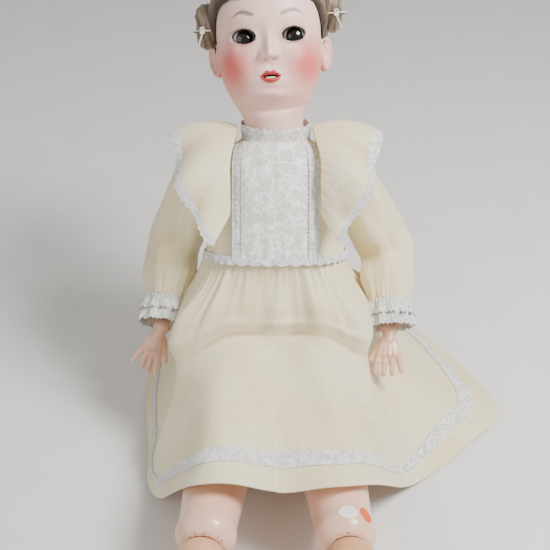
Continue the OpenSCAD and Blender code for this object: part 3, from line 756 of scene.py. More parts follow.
def paint_points(made: bpy.types.Object, colours: np.ndarray) -> None:
    """Writes a linear colour for each point of a mesh."""
    layer = made.data.color_attributes.new("paint", "FLOAT_COLOR", "POINT")
    full = np.ones((len(made.data.vertices), 4), np.float32)
    full[:, :3] = colours
    layer.data.foreach_set("color", full.reshape(-1))


def points_of(made: bpy.types.Object) -> np.ndarray:
    """The points of a mesh in the whole doll's millimetres."""
    points = np.zeros(len(made.data.vertices) * 3)
    made.data.vertices.foreach_get("co", points)
    return points.reshape(-1, 3) / MM


def hand_over(made: bpy.types.Object, finish: Finish, body: str, slot: str, *nodes: str) -> bpy.types.Object:
    """Dresses a piece, lets it ride on its body and reports it.

    Args:
        made: The piece.
        finish: Its finish.
        body: The body that it moves with.
        slot: Not used.
        nodes: The part's solids that it stands for.

    Returns:
        The same piece.
    """
    made.data.materials.clear()
    made.data.materials.append(Cupboard.take(finish))
    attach(made, body)
    if nodes:
        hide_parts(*nodes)
    LOG.info("%s: %d faces on %s", made.name, len(made.data.polygons), body)
    return made


def hand_over_bent(made: bpy.types.Object, finish: Finish, bodies: tuple, span: tuple, slot: str, *nodes: str) -> bpy.types.Object:
    """Dresses a piece of cloth that lies between two bodies and reports it.

    Args:
        made: The piece.
        finish: Its finish.
        bodies: The two bodies that it crosses between.
        span: Not used.
        slot: Not used.
        nodes: The part's solids that it stands for.

    Returns:
        The same piece.
    """
    made.data.materials.clear()
    made.data.materials.append(Cupboard.take(finish))
    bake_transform(made)
    if nodes:
        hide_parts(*nodes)
    LOG.info("%s: %d faces between %s", made.name, len(made.data.polygons), bodies)
    return made


def lathe(name: str, outline: list, base: np.ndarray, along: np.ndarray, sides: int = 64) -> bpy.types.Object:
    """A turned solid.

    Args:
        name: The piece's name.
        outline: Pairs of radius and height from one end on the axis to the other.
        base: Where height 0 lies.
        along: The axis.
        sides: Points round each ring.

    Returns:
        The closed solid.
    """
    along = unit(along)
    side = unit(np.cross(along, [0.31, 0.2, 0.93]))
    third = np.cross(along, side)
    turn = np.arange(sides) * TAU / sides
    points, rings = [], []
    for radius, height in outline:
        if radius < 1e-6:
            rings.append([len(points)])
            points.append(base + height * along)
        else:
            rings.append(list(range(len(points), len(points) + sides)))
            points.extend(base + height * along + radius * (np.cos(t) * side + np.sin(t) * third) for t in turn)
    faces = []
    for low, high in zip(rings, rings[1:] + rings[:1] if len(rings[0]) > 1 else rings[1:]):
        for k in range(sides):
            m = (k + 1) % sides
            if len(low) == 1 and len(high) == 1:
                continue
            if len(low) == 1:
                faces.append([low[0], high[m], high[k]])
            elif len(high) == 1:
                faces.append([low[k], low[m], high[0]])
            else:
                faces.append([low[k], low[m], high[m], high[k]])
    made = piece_from(name, np.array(points), faces)
    outward(made)
    return made


# Head -----------------------------------------------------------------------------------


@dataclass
class BisqueHead:
    """The poured head: a hollow bisque shell with cut eyes, an open mouth and painted features.

    Args:
        eye_x: Half distance between the eye centres.
        eye_z: Height of the eyes above the neck joint.
        mouth_z: Height of the middle of the lips.
        top_z: Height of the open crown's rim.
        wall: Thickness of the shell.
        cut_x: How far the eyes' cuts lie to the doll's left of the eyes.
        cut_z: How far they lie above the eyes.
    """

    eye_x: float = 18.5
    eye_z: float = 86.0
    mouth_z: float = 58.2
    top_z: float = 117.8
    wall: float = 3.0
    cut_x: float = 0.2
    cut_z: float = 1.5
    levels: tuple = (-22.4, -15, 0, 8, 20, 27, 31, 35, 39, 43, 48, 56, 66, 76, 86, 96, 106, 112, 118)
    half_width: tuple = (8.5, 18.7, 24, 23, 23, 23.6, 25, 27.3, 30, 32, 34.3, 37.2, 39.3, 40.2, 40.4, 41.2, 40.8, 39.6, 37.2)
    front: tuple = (8.5, 18.7, 24, 23, 23, 23.4, 24, 25.6, 29, 32.2, 34.2, 35.6, 36.6, 37.6, 38.4, 40.2, 40.4, 39.3, 37.2)
    rear: tuple = (8.5, 18.7, 24, 23, 23, 23.5, 24, 25.5, 28, 31, 33.5, 37, 39, 40.4, 41, 41.6, 41, 39.8, 37.4)

    def eye_gap(self, x: np.ndarray, z: np.ndarray) -> np.ndarray:
        """How far outside the nearer eye's cut a point lies, where 1 is on its edge."""
        x = x - self.cut_x
        dx = np.abs(np.abs(x) - self.eye_x) / 8.3
        dz = z - self.eye_z - self.cut_z + 0.5 * (np.abs(x) < self.eye_x) * dx
        return dx**2.1 + (np.abs(dz) / np.where(dz > 0, 5.2, 4.5)) ** 1.9

    def depth(self, angle: np.ndarray, z: np.ndarray) -> np.ndarray:
        """Distance of the skin from the head's upright axis.

        Args:
            angle: Direction, where 0 is the face and positive is the doll's left.
            z: Height above the neck joint.

        Returns:
            The distance in millimetres.
        """
        wide, front, rear = (smooth(list(self.levels), list(t), z) for t in (self.half_width, self.front, self.rear))
        toward = np.cos(angle) > 0
        power = np.where(toward, 2.0 + 0.25 * bump(z, 72, 30), 2.0)
        near = np.where(toward, front, rear)
        r = ((np.abs(np.sin(angle)) / wide) ** power + (np.abs(np.cos(angle)) / near) ** power) ** (-1 / power)
        x = r * np.sin(angle)
        ax = np.abs(x)
        on = np.where(toward, 1.0, 0.0)
        lift = -0.9 * bump(ax, 18, 11) * bump(z, 88, 7.5) + 0.9 * bump(ax, 17, 11) * bump(z, 100.5, 4.5)
        lift += 2.5 * bump(ax, 24, 11) * bump(z, 67, 11) - 0.5 * bump(ax, 12.5, 3) * bump(z, 62, 7)
        lift += 2.3 * bump(ax, 26.0, 4.2) * bump(z, self.eye_z - 1.5, 6.5) + 0.9 * bump(self.eye_gap(x, z), 1.35, 0.4)
        nose = z - 2.0
        ridge = smooth([60, 66.2, 68.2, 71, 74, 80, 88, 96, 104], [0, 0.2, 2.0, 7.6, 7.6, 4.6, 2.1, 0.9, 0], nose)
        lift += ridge * bump(x, 0, smooth([66, 72, 82, 96], [4.2, 4.4, 3.4, 5.5], nose))
        lift += 2.9 * bump(ax, 5.6, 2.3) * bump(nose, 71.4, 3.0) - 0.7 * bump(ax, 8.9, 1.3) * bump(nose, 71.5, 3.4)
        lift -= 1.0 * bump(ax, 3.1, 1.5) * bump(nose, 68.2, 1.2)
        lift += 2.2 * bump(x, 0, 12) * bump(z, 56, 8)
        lift -= 0.45 * bump(x, 0, 1.5) * bump(z, 66.2, 2.4)
        bow = self.mouth_z + 2.9 + 0.55 * bump(ax, 3.0, 1.9) - 0.35 * bump(x, 0, 1.3) - 0.030 * x**2
        lift += 1.25 * bump(z, bow - 0.4, 1.5) * bump(x, 0, 6.6)
        low = self.mouth_z - 3.1 + 0.034 * x**2
        lift += 1.7 * bump(z, low, 1.9) * bump(x, 0, 5.6)
        lift -= 1.5 * bump(z, self.mouth_z, 1.1) * bump(x, 0, 7.6) + 0.7 * bump(ax, 9.3, 1.4) * bump(z, self.mouth_z - 0.2, 1.8)
        lift -= 1.3 * bump(x, 0, 7) * bump(z, 49.0, 1.8)
        lift += 2.6 * bump(x, 0, 8.5) * bump(z, 44.6, 3.6) - 0.35 * bump(x, 0, 1.6) * bump(z, 44, 2.2)
        crease = 32.5 + 0.006 * x**2
        lift += -1.0 * bump(z, crease, 1.4) * bump(x, 0, 22) + 1.3 * bump(z, crease - 5.5, 4) * bump(x, 0, 20)
        return r + on * lift

    def skin(self, x: np.ndarray, z: np.ndarray, proud: float = 0.0) -> np.ndarray:
        """Points on the face from their place across and up.

        Args:
            x: Place across the face.
            z: Height above the neck joint.
            proud: How far the points stand off the skin.

        Returns:
            Points of the head's own frame.
        """
        x, z = np.broadcast_arrays(np.asarray(x, float), np.asarray(z, float))
        r = np.full(x.shape, 42.0)
        for _ in range(12):
            r = 0.5 * r + 0.5 * self.depth(np.arcsin(np.clip(x / r, -0.98, 0.98)), z)
        angle = np.arcsin(np.clip(x / r, -0.98, 0.98))
        r = r + proud
        return np.stack([r * np.sin(angle), -r * np.cos(angle), z], axis=-1)

    def shell(self) -> bpy.types.Object:
        """The outer skin as one closed solid."""
        fine = np.linspace(-1.35, 1.35, 181)
        rest = np.linspace(1.35, TAU - 1.35, 54)[1:-1]
        angle = np.concatenate([fine, rest])
        z = np.concatenate([np.linspace(-22.4, 26, 20)[:-1], np.linspace(26, 106, 132), np.linspace(106, self.top_z, 12)[1:]])
        a, h = np.meshgrid(angle, z)
        r = self.depth(a, h)
        points = np.stack([r * np.sin(a), -r * np.cos(a), h], axis=-1)
        rows, columns = points.shape[:2]
        number = np.arange(rows * columns).reshape(rows, columns)
        number = np.concatenate([number, number[:, :1]], axis=1)
        faces = np.stack([number[:-1, :-1], number[:-1, 1:], number[1:, 1:], number[1:, :-1]], -1).reshape(-1, 4).tolist()
        ends = np.array([[0, 0, z[0]], [0, 0, z[-1]]])
        low, high = rows * columns, rows * columns + 1
        faces += [[low, int(number[0, k + 1]), int(number[0, k])] for k in range(columns)]
        faces += [[high, int(number[-1, k]), int(number[-1, k + 1])] for k in range(columns)]
        made = piece_from("bisque_head", HEAD.out(np.concatenate([points.reshape(-1, 3), ends])), faces)
        outward(made)
        return made

    def cutters(self) -> list:
        """Solids that hollow the shell and cut its eyes and mouth."""
        steps = np.linspace(8, 112, 22)
        inside = [min(float(smooth(list(self.levels), list(t), [h])[0]) for t in (self.half_width, self.front, self.rear)) - self.wall
                  for h in steps]
        outline = [(0, -30), (8, -30), (8, -19)] + [(math.sqrt(20.4**2 - h * h), h) for h in (-17.5, -12, -5, 2)]
        outline += [(r, h) for r, h in zip(inside, steps)] + [(inside[-1] - 1, 125), (0, 125)]
        made = [lathe("hollow_cut", outline, HEAD.origin, HEAD.rise, 48)]
        turn = np.arange(72) * TAU / 72
        for side in Side:
            edge = np.stack([np.cos(turn), np.sin(turn)], 1)
            middle = np.array([side.value * self.eye_x + self.cut_x, self.eye_z + self.cut_z])
            for _ in range(30):
                gap = self.eye_gap(middle[0] + edge[:, 0], middle[1] + edge[:, 1])
                edge *= (1 + 0.4 * (gap ** -0.5 - 1))[:, None]
            made.append(self._prism(edge + middle, -62, -12))
        x = np.linspace(-5.6, 5.6, 21)
        top = self.mouth_z + 0.9 * (1 - (x / 5.6) ** 2) ** 0.7
        bottom = self.mouth_z - 1.5 * (1 - (x / 5.6) ** 2) ** 0.6 - 0.05
        lens = np.concatenate([np.stack([x, bottom], 1), np.stack([x, top], 1)[::-1][1:-1]])
        made.append(self._prism(lens, -60, -20))
        return made

    @staticmethod
    def _prism(edge: np.ndarray, front: float, rear: float) -> bpy.types.Object:
        """A prism through the face with the given outline of across and up."""
        n = len(edge)
        points = np.concatenate([np.stack([edge[:, 0], np.full(n, y), edge[:, 1]], 1) for y in (front, rear)])
        faces = [list(range(n)), list(range(2 * n - 1, n - 1, -1))]
        faces += [[k, k + n, (k + 1) % n + n, (k + 1) % n] for k in range(n)]
        made = piece_from("face_cut", HEAD.out(points), faces)
        outward(made)
        return made

    def colours(self, points: np.ndarray) -> np.ndarray:
        """The painted colour of each point of the head.

        Args:
            points: Points of the head's own frame.

        Returns:
            Linear red, green and blue.
        """
        x, y, z = points.T
        ax = np.abs(x)
        colour = np.tile(np.array(tint("F3CFC4")[:3]), (len(points), 1))

        def lay(code: str, share: np.ndarray) -> None:
            """Lays a paint over the colour by a share."""
            nonlocal colour
            share = np.clip(share, 0, 1)[:, None]
            colour = colour * (1 - share) + np.array(tint(code)[:3]) * share

        face = (y < 0).astype(float)
        lay("E3A79B", 0.35 * bump(z, 40, 14) * face)
        rosy = np.exp(-(((ax - 28.5) / 15.0) ** 2 + ((z - 65.5) / 18.5) ** 2) ** 1.2)
        lay("DB5048", 0.88 * rosy * face)
        lay("DE9A8F", 0.25 * bump(ax, 17, 9) * bump(z, 92.5, 3.2) * face)
        lay("E0A094", 0.3 * bump(x, 0, 6) * bump(z, 44, 4) * face)
        bow = self.mouth_z + 4.3 + 0.75 * bump(ax, 3.0, 1.7) - 0.75 * bump(x, 0, 1.5) - 0.062 * x**2 + 0.0
        low = self.mouth_z - 5.1 + 0.060 * x**2
        middle = self.mouth_z - 0.2
        upper = ease(bow - z, -0.25, 0.35) * ease(z, middle - 0.6, middle)
        lower = ease(z - low, -0.25, 0.4) * ease(-z, -middle - 0.6, -middle)
        lips = np.maximum(upper, lower) * ease(7.9 - ax, 0, 0.8) * face
        lay("AE1E20", 0.95 * lips)
        lay("5E1A1B", 0.85 * bump(z, middle, 0.6) * ease(8.4 - ax, 0, 1.0) * face)
        lay("C2544D", 0.85 * bump(ax, 3.0, 1.0) * bump(z, 70.4, 0.8) * face)
        lay("C75A50", 0.8 * (np.hypot(ax - 10.2, z - self.eye_z + 0.9) < 0.9) * face)
        gap = self.eye_gap(x, z)
        # painted shade: a mauve line in the crease above each upper lid
        lay("B98880", 0.5 * ease(z, self.eye_z + 2, self.eye_z + 5) * bump(gap, 1.75, 0.14) * face)
        lay("1B1311", ease(1.2 + 0.14 * (z > self.eye_z + self.cut_z) - gap, 0, 0.1) * ease(gap, 0.5, 0.9) * face)
        arch = 102.4 + 3.0 * bump(ax, 19.5, 7.5) - 0.035 * np.maximum(ax - 19, 0) ** 2
        body = ease(ax, 8.0, 11.5) * ease(-ax, -29.5, -23)
        half = 0.7 + 1.25 * bump(ax, 15.5, 6)
        hairs = 0.82 + 0.18 * np.sin(ax * 3.4 + (z - arch) * 2.6)
        lay("43271F", 0.95 * hairs * body * np.exp(-np.abs((z - arch) / half) ** 2.6) * face)
        lay("E6B7AA", 0.4 * ease(ax, 40, 44))
        return colour

    def lashes(self, side: Side) -> bpy.types.Object:
        """Painted lashes round one eye, as thin strokes on the skin."""
        points, faces = [], []
        for upper, count, reach in ((True, 17, 1.9), (False, 13, 1.1)):
            for k in range(count):
                share = (k + 0.5) / count * 2 - 1
                x0 = 7.8 * share
                rise = 1 if upper else -1
                cut = (1 - np.clip(abs(x0) / 8.3, 0, 1) ** 2.1) ** (1 / 1.9) * (5.2 if upper else 4.5)
                root = np.array([x0, rise * (cut + 0.15)])
                way = unit(np.array([0.75 * share + (0.25 if upper else 0.1), rise * (1.0 - 0.3 * abs(share))]))
                bend = np.array([0.35 * share, 0.22 * rise])
                start = len(points)
                for i in range(5):
                    t = i / 4
                    centre = root + reach * (way * t + bend * t * t)
                    across = np.array([-way[1], way[0]]) * (0.24 * (1 - t) + 0.03)
                    for edge in (-1, 1):
                        spot = centre + edge * across
                        points.append([side.value * (self.eye_x + spot[0]) + self.cut_x, self.eye_z + self.cut_z + spot[1]])
                faces += [[start + 2 * i, start + 2 * i + 2, start + 2 * i + 3, start + 2 * i + 1] for i in range(4)]
        flat = np.array(points)
        made = piece_from("painted_lashes_" + side.tag, HEAD.out(self.skin(flat[:, 0], flat[:, 1], 0.1)), faces)
        finish_with(made, "SOLIDIFY", thickness=0.12 * MM, offset=0.0)
        return made

    def ear(self, side: Side) -> bpy.types.Object:
        """One ear: a rolled rim round a hollow, with a lobe."""
        turns, rings = 48, 14
        points = []
        for j in range(rings + 1):
            f = j / rings
            for k in range(turns):
                t = TAU * k / turns
                up, out = math.cos(t), math.sin(t)
                high = 14.2 * f * (1.0 if up > 0 else 0.98)
                wide = (7.8 + 1.6 * up) * f
                rim = bump(f, 0.84, 0.14) * (1.0 if up > -0.6 else 0.7)
                inner = 0.6 * bump(f, 0.5, 0.1) * (up > -0.2) * (out > -0.4)
                bowl = -2.2 * bump(f, 0.12, 0.34)
                points.append([wide * out, high * up, 2.3 * rim + inner + bowl - 3.0 * ease(f, 0.93, 1.0)])
        faces = [[j * turns + k, j * turns + (k + 1) % turns, (j + 1) * turns + (k + 1) % turns, (j + 1) * turns + k]
                 for j in range(rings) for k in range(turns)]
        local = np.array(points)
        s = side.value
        out = unit(np.array([s * 0.80, -0.60, 0.0]))
        along = unit(np.array([s * 0.60, 0.80, 0.0]))
        up = np.array([0, 0.12, 1.0])
        spot = np.array([s * 42.3 + 0.6, -1.0, 73.5]) + local[:, :1] * along + local[:, 1:2] * up + local[:, 2:] * out
        made = piece_from("bisque_ear_" + side.tag, HEAD.out(spot), faces)
        outward(made)
        finish_with(made, "SOLIDIFY", thickness=2.2 * MM, offset=-1.0)
        outward(made)
        own = (points_of(made) - HEAD.origin) @ HEAD.axes().T
        colour = np.tile(np.array(tint("EFC4B6")[:3]), (len(own), 1))
        share = (0.45 * bump(own[:, 2], 62, 7) + 0.3 * bump(np.hypot(own[:, 1] + 1, own[:, 2] - 73.5), 0, 6))[:, None]
        paint_points(made, colour * (1 - share) + np.array(tint("D77F73")[:3]) * share)
        return made

    def build(self) -> None:
        """Makes and paints the head, its ears and its lashes."""
        made = self.shell()
        for cutter in self.cutters():
            finish_with(made, "BOOLEAN", operation="DIFFERENCE", solver="EXACT", object=cutter)
            bpy.data.objects.remove(cutter)
        own = (points_of(made) - HEAD.origin) @ HEAD.axes().T
        paint_points(made, self.colours(own))
        only(made)
        bpy.ops.object.shade_smooth_by_angle(angle=math.radians(40))
        hand_over(made, Cupboard.BISQUE, "head", "bisque", "head_shell")
        for side in Side:
            hand_over(self.ear(side), Cupboard.BISQUE, "head", "bisque")
            hand_over(self.lashes(side), Cupboard.LASH, "head", "bisque")


@dataclass
class GlassEye:
    """A blown glass sleeping eye.

    Args:
        side: Which eye.
        radius: Radius of the glass.
        depth: How far in front of the neck's axis its centre lies.
    """

    side: Side
    radius: float = 10.1
    depth: float = -24.3

    def build(self) -> None:
        """Makes the ball and lays rings on it by its gaze."""
        head = BisqueHead()
        centre = HEAD.out([self.side.value * head.eye_x, self.depth, head.eye_z])
        gaze = unit(HEAD.turn((0.02 * self.side.value + 0.08, -1, 0.15)))
        outline = []
        for off in np.radians(np.concatenate([np.linspace(0, 50, 30), np.linspace(54, 180, 28)])):
            outline.append((self.radius * math.sin(off) if 0 < off < 3.14 else 0.0, self.radius * math.cos(off)))
        made = lathe("glass_eye_" + self.side.tag, outline, centre, gaze, 64)
        way = (points_of(made) - centre) @ np.stack([gaze, unit(np.cross(gaze, HEAD.rise)), HEAD.rise]).T
        off = np.arccos(np.clip(way[:, 0] / np.linalg.norm(way, axis=1), -1, 1)) / math.pi
        turn = np.arctan2(way[:, 1], way[:, 2]) / TAU + 0.5
        layer = made.data.uv_layers.new(name="gaze")
        loops = np.zeros(len(made.data.loops), int)
        made.data.loops.foreach_get("vertex_index", loops)
        layer.data.foreach_set("uv", np.stack([off, turn], 1)[loops].astype(np.float32).reshape(-1))
        hand_over(made, Cupboard.GLASS, "eyes", "eye_glass", "eye_" + self.side.tag)


@dataclass
class Wig:
    """Combed hair parted in the middle, with a rolled coil tied over each ear.

    Args:
        lift: Thickness of the hair over the head.
        coil_r: Radius of a coil's turn.
        tube_r: Radius of the rolled hair.
    """

    lift: float = 4.4
    coil_r: float = 10.0
    tube_r: float = 8.0

    def cap(self) -> bpy.types.Object:
        """The combed cap from the parting down to the hairline."""
        head = BisqueHead()
        turn = np.linspace(-math.pi, math.pi, 241)[:-1]
        down = np.linspace(0, 1, 60)
        a, f = np.meshgrid(turn, down)
        line = smooth([0, 0.5, 0.9, 1.12, 1.27, 1.5, 1.9, 2.5, 3.15], [116.8, 116.2, 114, 108, 95, 83, 68, 58, 56], np.abs(a))
        line = line + 0.7 * np.sin(a * 31) * ease(np.abs(a), 0.3, 1.0) * 0.5
        top = 141.0
        z = top - (top - line) * f**1.25
        body = head.depth(a, np.minimum(z, head.top_z))
        dome = np.sqrt(np.clip(1 - ((z - head.top_z) / (top - head.top_z)) ** 2, 0, 1))
        thick = self.lift * ease(1.06 - f, 0.0, 0.25) * 0.9 + 0.25
        r = (body + thick) * np.where(z > head.top_z, dome, 1.0) + 0.15
        comb = 0.35 * np.sin(a * 90 + 2 * np.sin(a * 7)) + 0.4 * np.sin(a * 37 + 1.3)
        r = r + comb * ease(f, 0.1, 0.35) * ease(1.02 - f, 0, 0.15)
        r = np.where(f < 0.02, np.maximum(r, 0.6), r)
        parting = bump(r * np.sin(a), 0, 1.0) * (np.cos(a) > -0.3) * ease(r, 2, 8)
        r = r - 1.1 * parting * ease(1 - f, 0.05, 0.2)
        grid = HEAD.out(np.stack([r * np.sin(a), -r * np.cos(a), z], -1))
        # painted shade: darker towards the hairline, in the parting and in the comb's grooves
        hollow = 0.95 * ease(f, 0.72, 1.0) + 0.5 * parting + 0.25 * (comb < -0.3)
        return Cloth(grid, 0.9, True, -1, hollow).piece("combed_wig")

    def coil(self, side: Side) -> bpy.types.Object:
        """One coil: a rope of combed hair rolled over an open middle."""
        s = side.value
        centre = np.array([s * 48.0 + 1.0, 5.0, 107.0 if s > 0 else 99.5])
        long, sides = 120, 40
        t, k = np.meshgrid(np.arange(long) * TAU / long, np.arange(sides + 1)[:-1] * TAU / sides, indexing="ij")
        strand = 0.42 * np.cos(9 * k + 5 * t) + 0.2 * np.cos(23 * k - 3 * t) + 0.35 * np.sin(3 * t + k)
        tube = self.tube_r + strand - 0.4
        ring = self.coil_r + tube * np.cos(k)
        out = tube * np.sin(k) * 1.05
        points = np.stack([out * s, ring * np.cos(t), ring * np.sin(t)], -1) + centre
        # painted shade: darker in the grooves between strands and on the coil's inner side round its open middle
        hollow = 0.55 * (strand < -0.25) + 0.5 * bump(np.cos(k), -1, 0.4)
        grid = HEAD.out(points)
        grid = np.concatenate([grid, grid[:1]])
        hollow = np.concatenate([hollow, hollow[:1]])
        made = Cloth(grid, 1.0, True, 1, hollow)
        flip = float(np.mean(np.sum(made.normal * (grid - HEAD.out(centre)), -1)))
        if flip < 0:
            made = Cloth(grid, 1.0, True, -1, hollow)
        return made.piece("rolled_hair_" + side.tag)

    def tie(self, side: Side) -> bpy.types.Object:
        """A narrow ribbon round the coil with two small loops and a tail."""
        s = side.value
        knot = np.array([s * 50.0 + 1.0, 5.0 - self.coil_r - self.tube_r * 0.86, (107.0 if s > 0 else 99.5) - 4.0])
        runs = []
        for loop in (-1, 1):
            t = np.linspace(0, TAU, 26)
            grow = np.sin(t / 2) ** 1.2
            runs.append(np.stack([s * (1.2 + 1.4 * np.sin(t)), -1.2 - 0.8 * grow, loop * 2.2 * grow], -1))
        t = np.linspace(0, 1, 22)[:, None]
        runs.append(np.concatenate([s * (1.0 + 3.4 * t), -1.4 - 1.2 * np.sin(t * 3), -12 * t - 1.0 * np.sin(6 * t)], 1))
        t = np.linspace(0, TAU, 40)
        band = self.tube_r + 1.0
        runs.append(np.stack([s * band * np.sin(t), band * (1 - np.cos(t)) - 1.0, 0.25 * np.sin(2 * t)], -1))
        points, faces = [], []
        for run in runs:
            way = unit(np.gradient(run, axis=0))
            across = unit(np.cross(way, np.tile([0.0, 1.0, 0.15], (len(run), 1))))
            if run is runs[-1]:
                across = np.tile([0.0, 0.0, 1.0], (len(run), 1))
            start = len(points)
            for spot, side_way in zip(run, across):
                points += [spot - 0.55 * side_way, spot + 0.55 * side_way]
            faces += [[start + 2 * i, start + 2 * i + 2, start + 2 * i + 3, start + 2 * i + 1] for i in range(len(run) - 1)]
        made = piece_from("ribbon_tie_" + side.tag, HEAD.out(np.array(points) + knot), faces)
        finish_with(made, "SOLIDIFY", thickness=0.35 * MM, offset=0.0)
        return made

    def build(self) -> None:
        """Makes the wig, its coils and its ties."""
        hand_over(self.cap(), Cupboard.HAIR, "head", "hair", "wig_cap")
        for side in Side:
            hand_over(self.coil(side), Cupboard.HAIR, "head", "hair", "wig_coil_" + side.tag)
            hand_over(self.tie(side), Cupboard.RIBBON, "head", "hair_ribbon", "hair_tie_" + side.tag)


# Limbs ----------------------------------------------------------------------------------


@dataclass
class Leg:
    """A turned composition leg: a thigh and a lower leg with its foot, each cupped for the knee ball.

    Args:
        side: Which leg.
        thigh_r: Largest radius of the thigh.
        calf_r: Largest radius of the calf.
        hip_r: Radius of the hip ball.
        knee_r: Radius of the knee ball.
        shin_l: Length from the knee to the heel.
        foot_l: Not used.
    """

    side: Side
    thigh_r: float = 27.0
    calf_r: float = 20.0
    hip_r: float = 24.0
    knee_r: float = 19.0
    shin_l: float = 148.0
    foot_l: float = 66.0

    def thigh(self) -> bpy.types.Object:
        """The thigh with a cup at each end."""
        hip, knee = pivot("hip_swing_" + self.side.tag), pivot("knee_bend_" + self.side.tag)
        long = float(np.linalg.norm(knee - hip))
        cup = math.radians(42)
        places = [self.hip_r * math.cos(cup), 0.145 * long, 0.22 * long, 0.36 * long, 0.6 * long, 0.8 * long,
                  0.885 * long, long - self.knee_r * math.cos(cup)]
        radii = [self.hip_r * math.sin(cup) + 1.2, 0.84 * self.thigh_r, 0.985 * self.thigh_r, 0.97 * self.thigh_r,
                 0.86 * self.thigh_r, 0.76 * self.thigh_r, 0.74 * self.thigh_r, self.knee_r * math.sin(cup) + 1.2]
        at = np.linspace(places[0], places[-1], 56)
        skin = [(float(r), float(h)) for r, h in zip(smooth(places, radii, at), at)]
        low = [(math.sqrt((self.hip_r + 0.4) ** 2 - h * h), h) for h in np.linspace(self.hip_r * 0.97, skin[0][1] + 0.3, 7)]
        high = [(math.sqrt((self.knee_r + 0.4) ** 2 - (long - h) ** 2), h)
                for h in np.linspace(skin[-1][1] - 0.3, long - self.knee_r * 0.955, 7)]
        outline = [(4.6, low[0][1])] + low + skin + high + [(4.6, high[-1][1])]
        made = lathe("leg_thigh_" + self.side.tag, outline, hip, knee - hip, 72)
        self._wear(made, hip + unit(knee - hip) * (long - 12), 9)
        return made

    @staticmethod
    def _wear(made: bpy.types.Object, spot: np.ndarray, reach: float) -> None:
        """Writes how rubbed each point is, by its distance from a place."""
        near = np.linalg.norm(points_of(made) - spot, axis=1)
        Cloth._store(made, "hollow", 0.42 * np.exp(-((np.maximum(near - 12, 0) / reach) ** 2)))

    def lower(self) -> bpy.types.Object:
        """The calf, ankle and foot as one smooth form, with the knee's cup and the cord's bore."""
        knee = pivot("knee_bend_" + self.side.tag)
        way = axis("shin_twist_" + self.side.tag)
        way = way if way[2] < 0 and way[1] < 0 else -way
        flat = unit(np.array([way[0], way[1], 0]))
        up = unit(np.cross(np.cross(way, [0, 0, 1.0]), way))
        cup = math.radians(42)
        places = [self.knee_r * math.cos(cup), 0.14 * self.shin_l, 0.3 * self.shin_l, 0.5 * self.shin_l,
                  0.8 * self.shin_l, 0.95 * self.shin_l]
        radii = [self.knee_r * math.sin(cup) + 1.2, 0.9 * self.calf_r, self.calf_r, 0.93 * self.calf_r,
                 0.68 * self.calf_r, 0.66 * self.calf_r]
        at = np.linspace(places[0], places[-1], 30)
        outline = [(0, places[0])] + [(float(r), float(h)) for r, h in zip(smooth(places, radii, at), at)] + [(0, self.shin_l)]
        parts = [lathe("calf", outline, knee, way, 48)]
        heel = knee + self.shin_l * way
        for along, rise, radius, long in ((0, 0, 14.0, 1.0), (2.5, -8.2, 8.3, 1.0), (2.5, 12, 12.0, 1.1), (2, 24, 10.5, 1.15), (4.5, 36, 8.8, 1.2), (5, 44, 7.0, 1.2)):
            bpy.ops.mesh.primitive_uv_sphere_add(segments=32, ring_count=20, radius=radius * MM, location=(heel + along * way + rise * up) * MM)
            parts.append(bpy.context.active_object)
        for toe in range(4):
            bpy.ops.mesh.primitive_uv_sphere_add(segments=20, ring_count=12, radius=(3.4 - 0.25 * toe) * MM,
                                                 location=(heel + 5 * way + (49.5 - 1.6 * toe) * up
                                                           + (toe - 1.2) * 4.3 * np.cross(way, up) * -self.side.value) * MM)
            parts.append(bpy.context.active_object)
        bpy.ops.object.select_all(action="DESELECT")
        for part in parts:
            part.select_set(True)
        bpy.context.view_layer.objects.active = parts[0]
        bpy.ops.object.join()
        made = bpy.context.active_object
        made.name = "leg_lower_" + self.side.tag
        settle(made)
        finish_with(made, "REMESH", mode="VOXEL", voxel_size=1.4 * MM)
        finish_with(made, "SMOOTH", factor=0.6, iterations=14)
        cut = [(0, -5), (4.6, -5), (4.6, 0)]
        bore = lathe("bore_cut", [(0, -30), (self.knee_r + 0.4, -8), *[(math.sqrt((self.knee_r + 0.4) ** 2 - h * h), h) for h in (0, 5, 9, 12.5, 15.5, 17.6)],
                                  (4.6, math.sqrt((self.knee_r + 0.4) ** 2 - 4.6**2)), (4.6, 40), (0, 40)], knee, way, 48)
        finish_with(made, "BOOLEAN", operation="DIFFERENCE", solver="EXACT", object=bore)
        bpy.data.objects.remove(bore)
        only(made)
        bpy.ops.object.shade_smooth_by_angle(angle=math.radians(45))
        self._wear(made, knee + 14 * way, 7)
        return made

    def build(self) -> None:
        """Makes both parts of the leg."""
        hand_over(self.thigh(), Cupboard.LEG, "thigh_" + self.side.tag, "composition", "thigh_" + self.side.tag)
        hand_over(self.lower(), Cupboard.LEG, "lower_leg_" + self.side.tag, "composition", "lower_leg_" + self.side.tag)


